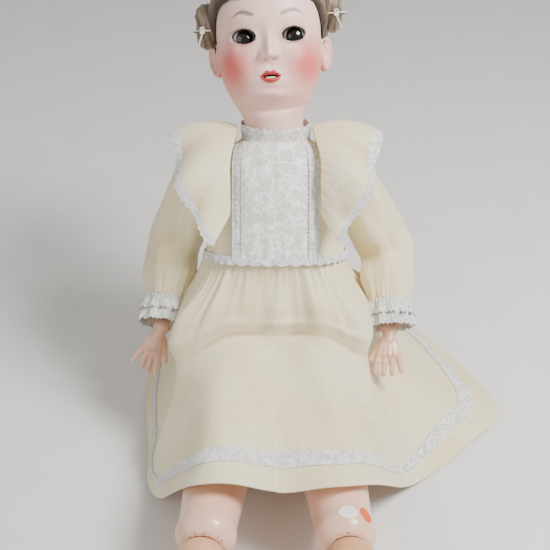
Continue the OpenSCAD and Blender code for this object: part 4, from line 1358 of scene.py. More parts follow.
@dataclass
class Hand:
    """A painted composition hand with separate fingers.

    Args:
        side: Which hand.
        turn: Azimuth of its fingers in the torso's frame.
        rise: Elevation of its fingers in the torso's frame.
        long: Length from the wrist to the finger tips.
    """

    side: Side
    turn: float
    rise: float = -58.0
    long: float = 40.0

    def build(self) -> None:
        """Grows the palm, fingers and thumb together and paints them."""
        s = self.side.value
        wrist = pivot("wrist_bend_" + self.side.tag)
        way = TORSO.turn(tuple(heading(self.turn, self.rise)))
        flat = unit(np.array([-way[1], way[0], 0]))
        face = np.cross(flat, way)
        balls = [((0, 0, 0), 7.2, 1.0), ((0, 0, 6), 5.6, 1.0), ((0, 0, 10), 5.4, 1.0)]
        for k in range(12):
            f = k / 11
            for y in np.linspace(-1, 1, 5):
                balls.append(((-0.6 * (1 - y * y), y * (3.4 + 4.4 * f), 9 + 13.5 * f), 3.7 - 0.35 * abs(y) - 0.3 * f, 1.0))
        spread = (1.0, 1.06, 1.0, 0.86)
        for i in range(4):
            y = (i - 1.5) * 5.1
            reach = (self.long - 22) * spread[i if s > 0 else 3 - i]
            splay = (i - 1.5) * (1.9 if s > 0 else 1.5) + (-3.2 if (s < 0 and i == 0) else 0)
            for k in range(13):
                f = k / 12
                curl = 2.8 * f * f
                balls.append(((curl, y + splay * f, 21 + (reach - 2.5) * f), 2.75 - 0.5 * f + 0.22 * float(bump(f, 0.42, 0.1)), 1.0))
        for k in range(11):
            f = k / 10
            balls.append(((1.5 + 1.6 * f, -s * (4.5 + 9.2 * f), 10 + 15.5 * f), 3.6 - 0.8 * f, 1.0))
        parts = []
        for (x, y, z), radius, _ in balls:
            bpy.ops.mesh.primitive_uv_sphere_add(segments=16, ring_count=10, radius=radius * MM,
                                                 location=(wrist + x * face + y * flat + z * way) * MM)
            parts.append(bpy.context.active_object)
        bpy.ops.object.select_all(action="DESELECT")
        for part in parts:
            part.select_set(True)
        bpy.context.view_layer.objects.active = parts[0]
        bpy.ops.object.join()
        made = bpy.context.active_object
        made.name = "painted_hand_" + self.side.tag
        settle(made)
        finish_with(made, "REMESH", mode="VOXEL", voxel_size=0.55 * MM)
        finish_with(made, "SMOOTH", factor=0.5, iterations=5)
        only(made)
        bpy.ops.object.shade_smooth()
        own = (points_of(made) - wrist) @ np.stack([face, flat, way]).T
        colour = np.tile(np.array(tint("E6BBA3")[:3]), (len(own), 1))
        share = np.clip(0.5 * ease(own[:, 2], 33, 46) + 0.4 * bump(own[:, 2], 23, 3.5) * ease(-own[:, 0], 0, 3), 0, 1)[:, None]
        paint_points(made, colour * (1 - share) + np.array(tint("D98C76")[:3]) * share)
        hand_over(made, Cupboard.FLESH, "hand_" + self.side.tag, "composition", "hand_" + self.side.tag)


@dataclass
class ThighLabel:
    """A blank paper sticker on the doll's left thigh.

    Args:
        name: The piece's name.
        along: How far from the hip its middle lies.
        turn: How far round the thigh from its top.
        size: Half length and half width.
        finish: Its paper.
    """

    name: str
    along: float
    turn: float
    size: tuple
    finish: Finish

    def build(self) -> None:
        """Lays a thin oval of paper on the thigh."""
        hip, knee = pivot("hip_swing_left"), pivot("knee_bend_left")
        way = unit(knee - hip)
        across = unit(np.cross(way, [0, 0, 1.0])) * -1
        up = np.cross(across, way) * -1
        up = up if up[2] > 0 else -up
        bpy.context.view_layer.update()
        thigh = bpy.data.objects["leg_thigh_left"]
        skin = BVHTree.FromPolygons([thigh.matrix_world @ v.co / MM for v in thigh.data.vertices],
                                    [list(face.vertices) for face in thigh.data.polygons])
        rings, turns, far, proud, mean = 8, 48, 60.0, 0.22, 21.0
        points = []
        for j in range(rings + 1):
            for k in range(turns):
                f, t = max(j, 0.02) / rings, TAU * k / turns
                at = self.along + self.size[0] * f * math.cos(t)
                bend = math.radians(self.turn) + self.size[1] * f * math.sin(t) / mean
                out = math.cos(bend) * up + math.sin(bend) * across
                struck = skin.ray_cast(Vector(hip + way * at + far * out), Vector(-out))[0]
                points.append(np.array(struck) + proud * out)
        faces = [[j * turns + k, j * turns + (k + 1) % turns, (j + 1) * turns + (k + 1) % turns, (j + 1) * turns + k]
                 for j in range(rings) for k in range(turns)]
        made = piece_from(self.name, np.array(points), faces)
        finish_with(made, "SOLIDIFY", thickness=0.16 * MM, offset=0.0)
        hand_over(made, self.finish, "thigh_left", "composition")


# Dress ----------------------------------------------------------------------------------

@dataclass
class Bodice:
    """The dress's body: cream silk with a lace front between insertion strips, a standing lace
    neckband, and buttons down the back.

    Args:
        levels: Heights of the body's rings over the hips, along the torso.
        half_width: Half width of each ring.
        half_depth: Half depth of each ring.
        yoke: Half width of the lace front.
        strip: Width of an insertion strip.
    """

    levels: tuple = (112.8, 138, 165, 184, 193, 199, 203.5)
    half_width: tuple = (57.3, 53.5, 49.8, 48.0, 43.0, 34.5, 27.6)
    half_depth: tuple = (44.3, 43.2, 42.0, 37.5, 34.0, 31.2, 27.8)
    yoke: float = 33.5
    strip: float = 8.5

    def skin(self, turn: np.ndarray, z: np.ndarray, proud: float = 0.0) -> np.ndarray:
        """Points on the body's cloth.

        Args:
            turn: Direction, where 0 is the front and positive is the doll's left.
            z: Height along the torso.
            proud: How far off the cloth.

        Returns:
            Points of the torso's frame.
        """
        wide = smooth(list(self.levels), list(self.half_width), z) + proud
        deep = smooth(list(self.levels), list(self.half_depth), z) + proud
        s = np.sin(turn)
        return np.stack([deep * s + (wide - deep) * np.clip(1.9 * s, -1, 1) * (1 - 0.12 * np.clip(1.9 * np.abs(s), 0, 1)),
                         -deep * np.cos(turn), z + 0 * s], -1)

    def front(self, x: np.ndarray, z: np.ndarray, proud: float) -> np.ndarray:
        """Points on the front of the body from their place across and up."""
        x, z = np.broadcast_arrays(np.asarray(x, float), np.asarray(z, float))
        turn = np.zeros(x.shape)
        for _ in range(30):
            at = self.skin(turn, z, proud)
            turn = np.clip(turn + 0.6 * (x - at[..., 0]) / 42, -1.45, 1.45)
        return self.skin(turn, z, proud)

    def body(self) -> bpy.types.Object:
        """The silk body with its armholes."""
        turn = np.arange(260) * TAU / 260 - math.pi
        z = np.linspace(112.8, 203.5, 96)
        t, h = np.meshgrid(turn, z)
        gather = Folds(60, 1.5, (0.12, 0.3), 5, 0.05).lift(t, (h - 112.8) / 90, (-math.pi, math.pi))
        crease = 0.5 * np.sin(9 * t + 0.06 * h) * np.sin(0.11 * h + 3 * t)
        lift = np.maximum(gather, -0.2) * 0.7 + crease * (np.abs(t) > 0.8)
        base = self.skin(t, h)
        grid = TORSO.out(base)
        normal = normals_of(grid, True)
        away = 1 if float(np.mean(np.sum(normal * (grid - TORSO.out([0, 0, 150])), -1))) > 0 else -1
        grid = grid + away * normal * (np.clip(lift, -0.3, 2.0) * (np.abs(t) > 0.75))[..., None]
        # painted shade: the silk darkens by how deep each point lies in the gathers at the sides and back
        made = Cloth(grid, 0.8, True, away, np.clip(0.3 - 0.4 * lift, 0, 1) * (np.abs(t) > 0.7)).piece("silk_bodice")
        work = bmesh.new()
        work.from_mesh(made.data)
        holes = [pivot("shoulder_swing_" + side.tag) for side in Side]
        gone = [v for v in work.verts if any(np.linalg.norm(np.array(v.co) / MM - hole) < 21.5 for hole in holes)]
        bmesh.ops.delete(work, geom=gone, context="VERTS")
        for hole in holes:
            rim = [e for e in work.edges if e.is_boundary and np.linalg.norm(np.array(e.verts[0].co) / MM - hole) < 30]
            bmesh.ops.bridge_loops(work, edges=rim)
        work.to_mesh(made.data)
        work.free()
        return made

    def lace_front(self) -> bpy.types.Object:
        """The lace panel of the front."""
        x = np.linspace(-self.yoke + self.strip, self.yoke - self.strip, 90)
        z = np.linspace(116, 202.5, 110)
        a, h = np.meshgrid(x, z)
        ripple = 0.25 * np.sin(a * 0.5 + 0.03 * h) + 0.35 * bump(h, 116, 8) * np.sin(a * 0.9)
        grid = TORSO.out(self.front(a, h, 1.4) + np.stack([0 * a, -ripple, 0 * a], -1))
        return Cloth(grid, 0.5, False, self._front_facing(grid), flat=np.stack([a, h], -1) + [60, 0]).piece("lace_yoke")

    @staticmethod
    def _front_facing(grid: np.ndarray) -> int:
        """1 where a front grid's normal points forwards, else -1."""
        ahead = -TORSO.axes()[1]
        return 1 if float(np.mean(normals_of(grid, False) @ ahead)) > 0 else -1

    def insertion(self, side: Side) -> bpy.types.Object:
        """One standing strip of insertion lace, ridged along both edges."""
        s = side.value
        across = np.linspace(0, 1, 25)
        z = np.linspace(114.5, 201, 120)
        f, h = np.meshgrid(across, z)
        x = s * (self.yoke - self.strip * (1 - f) + 1.2 * ease(h, 185, 205) * -1.5)
        ridge = 0.9 * (bump(f, 0.08, 0.07) + bump(f, 0.92, 0.07)) + 0.35 * np.abs(np.sin(h * 0.75)) * bump(f, 0.5, 0.3)
        picot = 0.45 * np.sin(h * 2.2) * (bump(f, 0.0, 0.06) + bump(f, 1.0, 0.06))
        grid = TORSO.out(self.front(x + picot, np.minimum(h, 202.5), 1.9) + np.stack([0 * f, -ridge, 0 * f], -1))
        return Cloth(grid, 0.5, False, self._front_facing(grid), flat=np.stack([f * self.strip, h], -1)).piece("insertion_lace_" + side.tag)

    def neckband(self) -> bpy.types.Object:
        """The standing lace collar with a toothed top edge."""
        turn = np.arange(300) * TAU / 300 - math.pi
        f = np.linspace(0, 1, 22)
        t, f = np.meshgrid(turn, f)
        slope = (1 - np.cos(t)) / 2
        low = 200.0 + 4.5 * slope
        top = 211.5 + 9.5 * slope + 1.1 * np.abs(np.sin(t * 26)) * ease(f, 0.85, 1)
        z = low + (top - low) * f
        r = 26.3 + 1.2 * f + 0.9 * bump(f, 0.12, 0.1) + 0.5 * np.sin(t * 13) * f
        grid = TORSO.out(np.stack([r * np.sin(t), -r * np.cos(t), z], -1))
        facing = 1 if float(np.mean(np.sum(normals_of(grid, True) * (grid - TORSO.out([0, 0, 205])), -1))) > 0 else -1
        return Cloth(grid, 0.6, True, facing).piece("neck_lace")

    def waist_edge(self) -> bpy.types.Object:
        """The scalloped lace that finishes the waist seam."""
        turn = np.arange(340) * TAU / 340 - math.pi
        f = np.linspace(0, 1, 12)
        t, f = np.meshgrid(turn, f)
        scallop = 1.6 * np.abs(np.sin(t * 21)) * ease(f, 0.5, 1)
        z = 117.0 - 5.2 * f - scallop
        base = self.skin(t, np.maximum(z, 112.8), 1.7 + 1.3 * f + 0.3 * np.sin(t * 42))
        base[..., 2] = z
        grid = TORSO.out(base)
        facing = 1 if float(np.mean(np.sum(normals_of(grid, True) * (grid - TORSO.out([0, 0, 114])), -1))) > 0 else -1
        return Cloth(grid, 0.6, True, facing).piece("waist_lace")

    def buttons(self) -> None:
        """Three china buttons down the back, with sunk middles and sewing holes."""
        low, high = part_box("back_buttons")
        for k in range(3):
            z = 124.0 + 16 * k
            y = float(smooth(list(self.levels), list(self.half_depth), [z])[0]) + 1.2
            base, along = TORSO.out([0, y, z]), TORSO.turn((0, 1, 0))
            outline = [(0, -0.9), (3.2, -0.9), (3.9, -0.3), (4.0, 0.4), (3.6, 1.0), (2.9, 1.1), (2.5, 0.7), (1.2, 0.55), (0, 0.55)]
            made = lathe(f"china_button_{k}", outline, base, along, 48)
            for dx, dz in ((-0.8, 0.8), (0.8, 0.8), (-0.8, -0.8), (0.8, -0.8)):
                hole = lathe("hole_cut", [(0, -3), (0.35, -3), (0.35, 3), (0, 3)], TORSO.out([dx, y, z + dz]), along, 16)
                finish_with(made, "BOOLEAN", operation="DIFFERENCE", solver="EXACT", object=hole)
                bpy.data.objects.remove(hole)
            only(made)
            bpy.ops.object.shade_smooth_by_angle(angle=math.radians(40))
            hand_over(made, Cupboard.BUTTON, "torso", "button", *(["back_buttons"] if k == 0 else []))

    def build(self) -> None:
        """Makes the body and its trimmings."""
        silk = hand_over(self.body(), Cupboard.SILK, "torso", "silk", "bodice")
        front = hand_over(self.lace_front(), Cupboard.LACE, "torso", "lace", "yoke_lace")
        for side in Side:
            strip = hand_over(self.insertion(side), Cupboard.NARROW, "torso", "lace")
        band = hand_over(self.neckband(), Cupboard.NARROW, "torso", "lace", "neckband")
        edge = hand_over(self.waist_edge(), Cupboard.NARROW, "torso", "lace")
        self.buttons()


@dataclass
class Bertha:
    """A ruffle over the shoulder, sewn beside the lace front and edged with lace.

    Args:
        side: Which shoulder.
        flutes: How many flutes the ruffle has.
        depth: How far a flute stands out.
    """

    side: Side
    flutes: float = 4.6
    depth: float = 3.8

    def build(self) -> None:
        """Makes the ruffle and its lace edge as one cloth cut in two."""
        s = self.side.value
        seam = np.array([[34, -45, 150], [33.5, -44, 172], [33, -37, 189], [30, -22, 203], [29, -4, 211], [30, 14, 207], [32, 30, 197],
                         [33, 40, 182], [34, 44, 160]], float)
        edge = np.array([[46, -56, 128], [61, -54, 149], [70, -46, 171], [77, -27, 191], [78, 0, 205], [76, 22, 200], [71, 40, 182],
                         [60, 51, 158], [46, 54, 138]], float)
        if s > 0:
            edge = edge + [0, 1, 1.5]
        t = np.linspace(0, 1, 260)
        w = np.linspace(0, 1, 60)
        a, b = path(seam, t * 8), path(edge, t * 8)
        ww, tt = np.meshgrid(w, t, indexing="ij")
        base = a[None] + ww[..., None] * (b - a)[None]
        crown = 10.0 * np.sin(np.pi * np.clip(ww * 0.8 + 0.1, 0, 1)) * ease(np.sin(np.pi * tt), 0.0, 0.7)
        base = base * [s, 1, 1]
        away = unit(base - np.array([s * 20, 0, 150.0]))
        base = base + away * crown[..., None]
        phase = 0.8 if s > 0 else 0.0
        wave = np.sin(TAU * (self.flutes * tt + 0.05 * np.sin(9 * tt) + 0.12 * ww * np.sin(5 * tt + phase)) + phase)
        fine = Folds(34, 1.5, (0.25, 0.6), 21 + s, 0.01).lift(tt, ww, (0, 1))
        lift = self.depth * wave * ww**1.2 + 0.8 * fine
        grid = base + away * lift[..., None]
        tooth = 1.5 * np.abs(((tt * 46) % 1) * 2 - 1) * ease(ww, 0.94, 1.0)
        outw = unit(base - np.concatenate([base[:1], base[:-1]]) + 1e-6)
        grid = grid + outw * tooth[..., None]
        world = TORSO.out(grid)
        facing = 1 if float(np.mean(np.sum(normals_of(world, False) * (world - TORSO.out([s * 20, 0, 150])), -1))) > 0 else -1
        # painted shade: darker in the flutes' hollows and along the seam where the ruffle meets the bodice
        hollow = np.clip(0.42 - 0.5 * wave * ww - 0.3 * fine, 0, 1) * ease(ww, 0.0, 0.15) + 0.35 * bump(ww, 0, 0.12)
        cloth = Cloth(world, 0.7, False, facing, hollow)
        cut = 49
        silk = hand_over(cloth.piece("bertha_silk_" + self.side.tag, slice(0, cut)), Cupboard.SILK, "torso", "silk", "bertha_" + self.side.tag)
        lace = hand_over(cloth.piece("bertha_lace_" + self.side.tag, slice(cut - 1, 60)), Cupboard.NARROW, "torso", "lace")
        cloth.cut(slice(0, cut))
        cloth.cut(slice(cut - 1, 60))


@dataclass
class Sleeve:
    """A full sleeve gathered at the shoulder and into a narrow wrist, with a lace cuff.

    Args:
        side: Which arm.
        full: Radius of the sleeve at the elbow.
        wrist: Radius at the cuff.
        ball: Radius of the shoulder ball.
        arm: Radius of the upper arm.
    """

    side: Side
    full: float = 22.0
    wrist: float = 17.0
    ball: float = 15.0
    arm: float = 13.0
    count: int = 150

    def _ring(self, centre: np.ndarray, way: np.ndarray, radius: float) -> np.ndarray:
        """A circle of points square to a direction, which starts at the doll's front."""
        ahead = TORSO.turn((0, -1, 0))
        way = unit(way)
        first = unit(ahead - (ahead @ way) * way)
        second = np.cross(first, way)
        t = (np.arange(self.count) * TAU / self.count)[:, None]
        return centre + radius * (np.cos(t) * first + np.sin(t) * second)

    def _hoop(self, low: np.ndarray, high: np.ndarray) -> np.ndarray:
        """A ring with its armpit side at one point and its outer side at the other."""
        centre = (low + high) / 2
        way = np.cross(high - low, TORSO.turn((0, -1, 0)))
        way = way * (1 if way[0] * self.side.value > 0 else -1)
        return self._ring(centre, way, float(np.linalg.norm(high - low)) / 2)

    def build(self) -> None:
        """Makes the sleeve and its two layers of cuff lace."""
        s, tag = self.side.value, self.side.tag
        p, e, w = (pivot(j + tag) for j in ("shoulder_swing_", "elbow_bend_", "wrist_bend_"))
        u, f = unit(e - p), unit(w - e)
        upper, fore = float(np.linalg.norm(e - p)), float(np.linalg.norm(w - e))
        x = np.array([s, 0.0, 0.0])
        down = unit(u - (u @ x) * x)
        inward = unit((u @ x) * u - x)
        hug, b = self.arm - 1 + 2.4, self.ball
        keys = [self._hoop(p - 7 * x + (b + 3) * down, p - 7 * x - (b + 3) * down),
                self._hoop(p + 16 * u + hug * inward, p + (b - 1) * x - (b - 1.5) * down),
                self._hoop(p + 26 * u + (hug + 1.2) * inward, p + (b + 7) * x + 4 * down),
                self._ring(p + 0.55 * upper * u, u, self.full - 1), self._ring(e, u + f, self.full),
                self._ring(e + 0.35 * fore * f, f, self.full - 2), self._ring(e + (fore - 24) * f, f, self.wrist)]
        rows = 130
        steps = np.linspace(0, 6, rows)
        grid = path(np.array(keys), steps)
        turn = np.arange(self.count) * TAU / self.count
        tt, vv = np.meshgrid(turn, np.linspace(0, 1, rows))
        seamed = (tt + math.pi) % TAU
        top = Folds(24, 2.3, (0.25, 0.5), 31 + s, 0.4).lift(seamed, vv, (0, TAU))
        wristward = Folds(28, 2.3, (0.16, 0.34), 41 + s, 0.4).lift(seamed, 1 - vv, (0, TAU))
        drape = (1.7 * np.sin(3 * tt + 7 * vv + s) * np.sin(2.2 + 5 * vv) + 1.2 * np.sin(5 * tt - 9 * vv + 2 * s)
                 + 1.3 * np.sin(2 * tt + 19 * vv - s) * bump(vv, 0.62, 0.17)) * ease(vv, 0.12, 0.35) * ease(1 - vv, 0.02, 0.18)
        blouse = 2.2 * bump(vv, 0.86, 0.07)
        lift = top * 0.8 + wristward * 0.9 + drape + blouse
        centre = grid.mean(axis=1, keepdims=True)
        away = unit(grid - centre)
        near = (away @ TORSO.turn((-s, 0, 0))) * ease(1 - vv, 0.45, 0.8)
        lift = np.where(near > 0.35, np.minimum(lift, 0.3), lift)
        lift = np.where(vv < 0.03, np.minimum(lift, 0.2), lift)
        world = grid + away * np.clip(lift, -1.3, 6)[..., None]
        facing = 1 if float(np.mean(np.sum(normals_of(world, True) * away, -1))) > 0 else -1
        # painted shade: darker in the folds' hollows and under the cuff lace at the wrist
        hollow = np.clip(0.3 - 0.2 * top - 0.2 * wristward - 0.06 * drape, 0, 1) + 0.3 * bump(vv, 1, 0.05)
        cloth = Cloth(world, 0.7, True, facing, hollow)
        bend = 16 * unit(u + f)
        silk = hand_over_bent(cloth.piece("bishop_sleeve_" + tag), Cupboard.SILK, ("upper_arm_" + tag, "elbow_" + tag),
                              (e - bend, e + bend), "silk", "sleeve_" + tag)
        cloth.cut()
        for layer, (start, long, low_r, high_r) in enumerate(((fore - 23.4, 21.0, self.wrist - 0.4, self.wrist + 3.4),
                                                              (fore - 24.0, 12.5, self.wrist + 0.5, self.wrist + 4.2))):
            g = np.linspace(0, 1, 34)
            t2, g2 = np.meshgrid(np.arange(300) * TAU / 300, g)
            wave = np.sin(t2 * (11 + 2 * layer) + layer) * 1.7 * g2 ** 1.1
            pleat = 0.5 * np.sin(t2 * 37) * (1 - 0.5 * g2)
            r = low_r + (high_r - low_r) * g2 + wave + pleat
            tooth = 1.5 * np.abs(((t2 * 40 / TAU) % 1) * 2 - 1) * ease(g2, 0.86, 1)
            z = start + long * g2 + tooth
            first = unit(TORSO.turn((0, -1, 0)) - (TORSO.turn((0, -1, 0)) @ f) * f)
            second = np.cross(first, f)
            world = e + z[..., None] * f + r[..., None] * (np.cos(t2)[..., None] * first + np.sin(t2)[..., None] * second)
            out = np.cos(t2)[..., None] * first + np.sin(t2)[..., None] * second
            facing = 1 if float(np.mean(np.sum(normals_of(world, True) * out, -1))) > 0 else -1
            ruffle = Cloth(world, 0.45, True, facing)
            lace = hand_over(ruffle.piece(f"cuff_lace_{layer}_{tag}"), Cupboard.NARROW, "forearm_" + tag, "lace",
                             *(["cuff_" + tag] if layer == 0 else []))
            ruffle.cut()


@dataclass
class Skirt:
    """The gathered skirt: from the waist over the lap, with tucks and a lace band near the hem.

    Args:
        mid: Where each path down the skirt has its middle, from the front round by the left.
        end: Where each path meets the hem.
        waist: Half width, half depth and height of the waist seam, in the torso's frame.
        lap: Share of the way down at which the cloth turns over the lap.
    """

    mid: tuple = ((0, -28, 93), (42, -32, 95), (78, -22, 60), (80, 14, 52), (92, 42, 52), (86, 82, 52), (50, 114, 50),
                  (0, 124, 48), (-50, 114, 50), (-80, 82, 50), (-82, 45, 48), (-80, 6, 50), (-81, -32, 58), (-44, -36, 98))
    end: tuple = ((2, -138, 82), (58, -137, 86), (108, -72, 12), (160, -22, 3.4), (192, 24, 3.4), (140, 112, 3.4),
                  (70, 150, 3.4), (0, 152, 3.4), (-60, 148, 3.4), (-104, 108, 3.4), (-114, 50, 3.4), (-106, -20, 3.4),
                  (-95, -84, 12), (-55, -138, 88))
    waist: tuple = (57.2, 44.2, 112.4)
    lap: float = 0.32
    columns: int = 420
    rows: int = 170

    def surface(self) -> tuple[np.ndarray, np.ndarray, np.ndarray]:
        """The plain skirt before its folds.

        Returns:
            Its points, and the place of each point round and down the skirt.
        """
        n = len(self.mid)
        u = np.arange(self.columns) * n / self.columns
        v = np.linspace(0, 1, self.rows)
        turn = TAU * u / n
        start = TORSO.out(np.stack([self.waist[0] * np.sin(turn), -self.waist[1] * np.cos(turn), np.full(len(u), self.waist[2])], -1))
        hem = path(np.array(self.end, float), u, True)
        bend = 2 * path(np.array(self.mid, float), u, True) - 0.5 * (start + hem)
        t = v[:, None, None]
        grid = (1 - t) ** 2 * start + 2 * t * (1 - t) * bend + t * t * hem
        uu, vv = np.meshgrid(u, v)
        return grid, uu, vv

    def folds(self, u: np.ndarray, v: np.ndarray) -> tuple[np.ndarray, np.ndarray]:
        """How far the cloth stands out, and how much shade is painted on it: in its folds, along the lap's crease and
        under each tuck.
        """
        n = len(self.mid)
        side = np.abs(((u + n / 2) % n) - n / 2)
        seamed = (u + n / 2) % n
        small = Folds(80, 2.4, (0.10, 0.34), 3, 0.5).lift(seamed, v, (0, n))
        large = Folds(26, 9.0, (0.26, 0.6), 8, 0.8).lift(seamed, v, (0, n)) * ease(v, 0.02, 0.2)
        spread = Folds(17, 6.5, (0.9, 1.4), 12, 1.0).lift(seamed, v, (0, n)) * ease(v, 0.15, 0.45) * ease(side, 1.7, 2.8)
        puff = 8.0 * bump(v, 0.22, 0.13) * ease(side, 0.6, 2.4) * ease(-side, -5.8, -4.4) + 4.5 * bump(v, self.lap - 0.11, 0.1)
        stitched = ease(v, 0.0, 0.035)
        front = ease(-side, -2.9, -2.0)
        ridge = front * (1.9 * bump(v, self.lap - 0.045, 0.022) * (1 + 0.5 * np.sin(u * 5)) - 1.8 * bump(v, self.lap + 0.015, 0.028))
        ease_out = 1 - front * ease(v, self.lap - 0.04, self.lap + 0.10)
        sway = front * ease(v, self.lap, self.lap + 0.15) * (1.5 * np.sin(u * 3.1 + 4 * v) + 0.9 * np.sin(u * 6.3 - 9 * v + 1)
                                                             + 1.3 * np.sin(15 * v + 1.4 * u) * bump(v, self.lap + 0.16, 0.12))
        tucks = np.zeros(v.shape)
        for place in (0.60, 0.68, 0.76):
            tucks = tucks + 1.1 * ease(v, place - 0.035, place) * (v < place + 0.004) * ease(-side, -3.0, -1.8)
        hem = 0.35 * bump(v, 0.985, 0.006)
        lift = stitched * (small * (0.35 + 0.65 * ease_out) + large * ease_out + spread + puff) + ridge + sway + tucks + hem
        # painted shade: deeper in the folds' valleys, with painted shadow lines along the lap's crease and under each
        # tuck
        depth = np.clip(0.4 - 0.2 * (small + 0.6 * large * ease_out + 0.6 * spread), 0, 1) * (0.25 + 0.75 * ease_out)
        depth = depth + 0.55 * bump(v, self.lap + 0.01, 0.018) * front
        for place in (0.60, 0.68, 0.76):
            depth = depth + 0.35 * bump(v, place + 0.008, 0.006) * ease(-side, -3.0, -1.8)
        return lift, np.clip(depth, 0, 1)

    def build(self) -> None:
        """Makes the skirt as an upper part, two lap parts, and their lace bands."""
        grid, u, v = self.surface()
        normal = normals_of(grid, True)
        centre = np.array([0, 10, 20.0])
        away = 1 if float(np.mean(np.sum(normal * (grid - centre), -1))) > 0 else -1
        lift, depth = self.folds(u, v)
        grid = grid + away * normal * lift[..., None]
        grid[..., 2] = np.maximum(grid[..., 2], 1.6)
        cloth = Cloth(grid, 0.8, True, away, depth)
        step = self.columns / len(self.mid)
        lap_row = int(self.lap * (self.rows - 1))
        reach = int(3.0 * step)
        half = self.columns // 2
        turned = self._rolled(cloth, half)
        mid = self.columns - half
        upper = turned.piece("skirt_upper", slice(0, lap_row + 1))
        back = self._rolled(cloth, 0).piece("skirt_back", slice(lap_row, None), slice(reach, self.columns - reach + 1))
        left = turned.piece("skirt_lap_left", slice(lap_row, None), slice(mid, mid + reach + 1))
        right = turned.piece("skirt_lap_right", slice(lap_row, None), slice(mid - reach, mid + 1))
        for made in (upper, back):
            hand_over(made, Cupboard.SILK, "torso", "silk", *(["skirt"] if made is upper else []))
        for made, side in ((left, Side.LEFT), (right, Side.RIGHT)):
            hip = pivot("hip_swing_" + side.tag)
            hand_over_bent(made, Cupboard.SILK, ("torso", "hip_" + side.tag),
                                        (hip * [0.06, 1, 1], hip * [0.95, 1, 1]), "silk")
        below = slice(lap_row, None)
        turned.cut(slice(0, lap_row + 1))
        cloth.cut(below, slice(reach, self.columns - reach + 1))
        turned.cut(below, slice(mid, mid + reach + 1))
        turned.cut(below, slice(mid - reach, mid + 1))
        self.band(cloth, turned, mid, reach)
        self.seat()

    def seat(self) -> None:
        """Lays the part of the skirt that the doll sits on, flat on the floor."""
        u = np.arange(120) * len(self.end) / 120
        rim = path(np.array(self.end, float), u, True)
        rim = np.stack([0.78 * rim[:, 0], np.maximum(0.78 * rim[:, 1], -60) + 4], -1)
        share = np.linspace(0.04, 1, 40)[:, None, None]
        middle = rim.mean(axis=0)
        flat = middle + share * (rim - middle)
        height = 1.1 + 0.3 * np.sin(flat[..., 0] * 0.11) * np.sin(flat[..., 1] * 0.13)
        grid = np.concatenate([flat, height[..., None]], -1)
        facing = 1 if float(normals_of(grid, True)[..., 2].mean()) > 0 else -1
        made = hand_over(Cloth(grid, 0.6, True, facing, flat=np.concatenate([flat, flat[:, :1]], 1)).piece("skirt_under"),
                         Cupboard.SILK, "torso", "silk", "skirt_seat")

    def _rolled(self, cloth: Cloth, by: int) -> Cloth:
        """The same cloth with its columns started elsewhere, and measured once more."""
        grid = np.roll(cloth.grid, by, axis=1)
        return Cloth(grid, cloth.thick, True, cloth.facing, np.roll(cloth.hollow, by, axis=1))

    def band(self, cloth: Cloth, turned: Cloth, mid: int, reach: int) -> None:
        """The lace band let into the skirt above the hem, in the same parts as the skirt."""
        low, high = int(0.858 * self.rows), int(0.918 * self.rows)
        for source, name, columns, body in ((self._rolled(cloth, 0), "hem_lace_back", slice(reach, self.columns - reach + 1), None),
                                            (turned, "hem_lace_left", slice(mid, mid + reach + 1), Side.LEFT),
                                            (turned, "hem_lace_right", slice(mid - reach, mid + 1), Side.RIGHT)):
            lifted = source.grid + 0.9 * source.normal
            part = Cloth(lifted, 0.5, True, source.facing, flat=source.flat)
            made = part.piece(name, slice(low, high), columns)
            if body is None:
                hand_over(made, Cupboard.NARROW, "torso", "lace", "hem_lace")
            else:
                hip = pivot("hip_swing_" + body.tag)
                hand_over_bent(made, Cupboard.NARROW, ("torso", "hip_" + body.tag), (hip * [0.06, 1, 1], hip * [0.95, 1, 1]), "lace")
            part.cut(slice(low, high), columns)


# Elastics -------------------------------------------------------------------------------


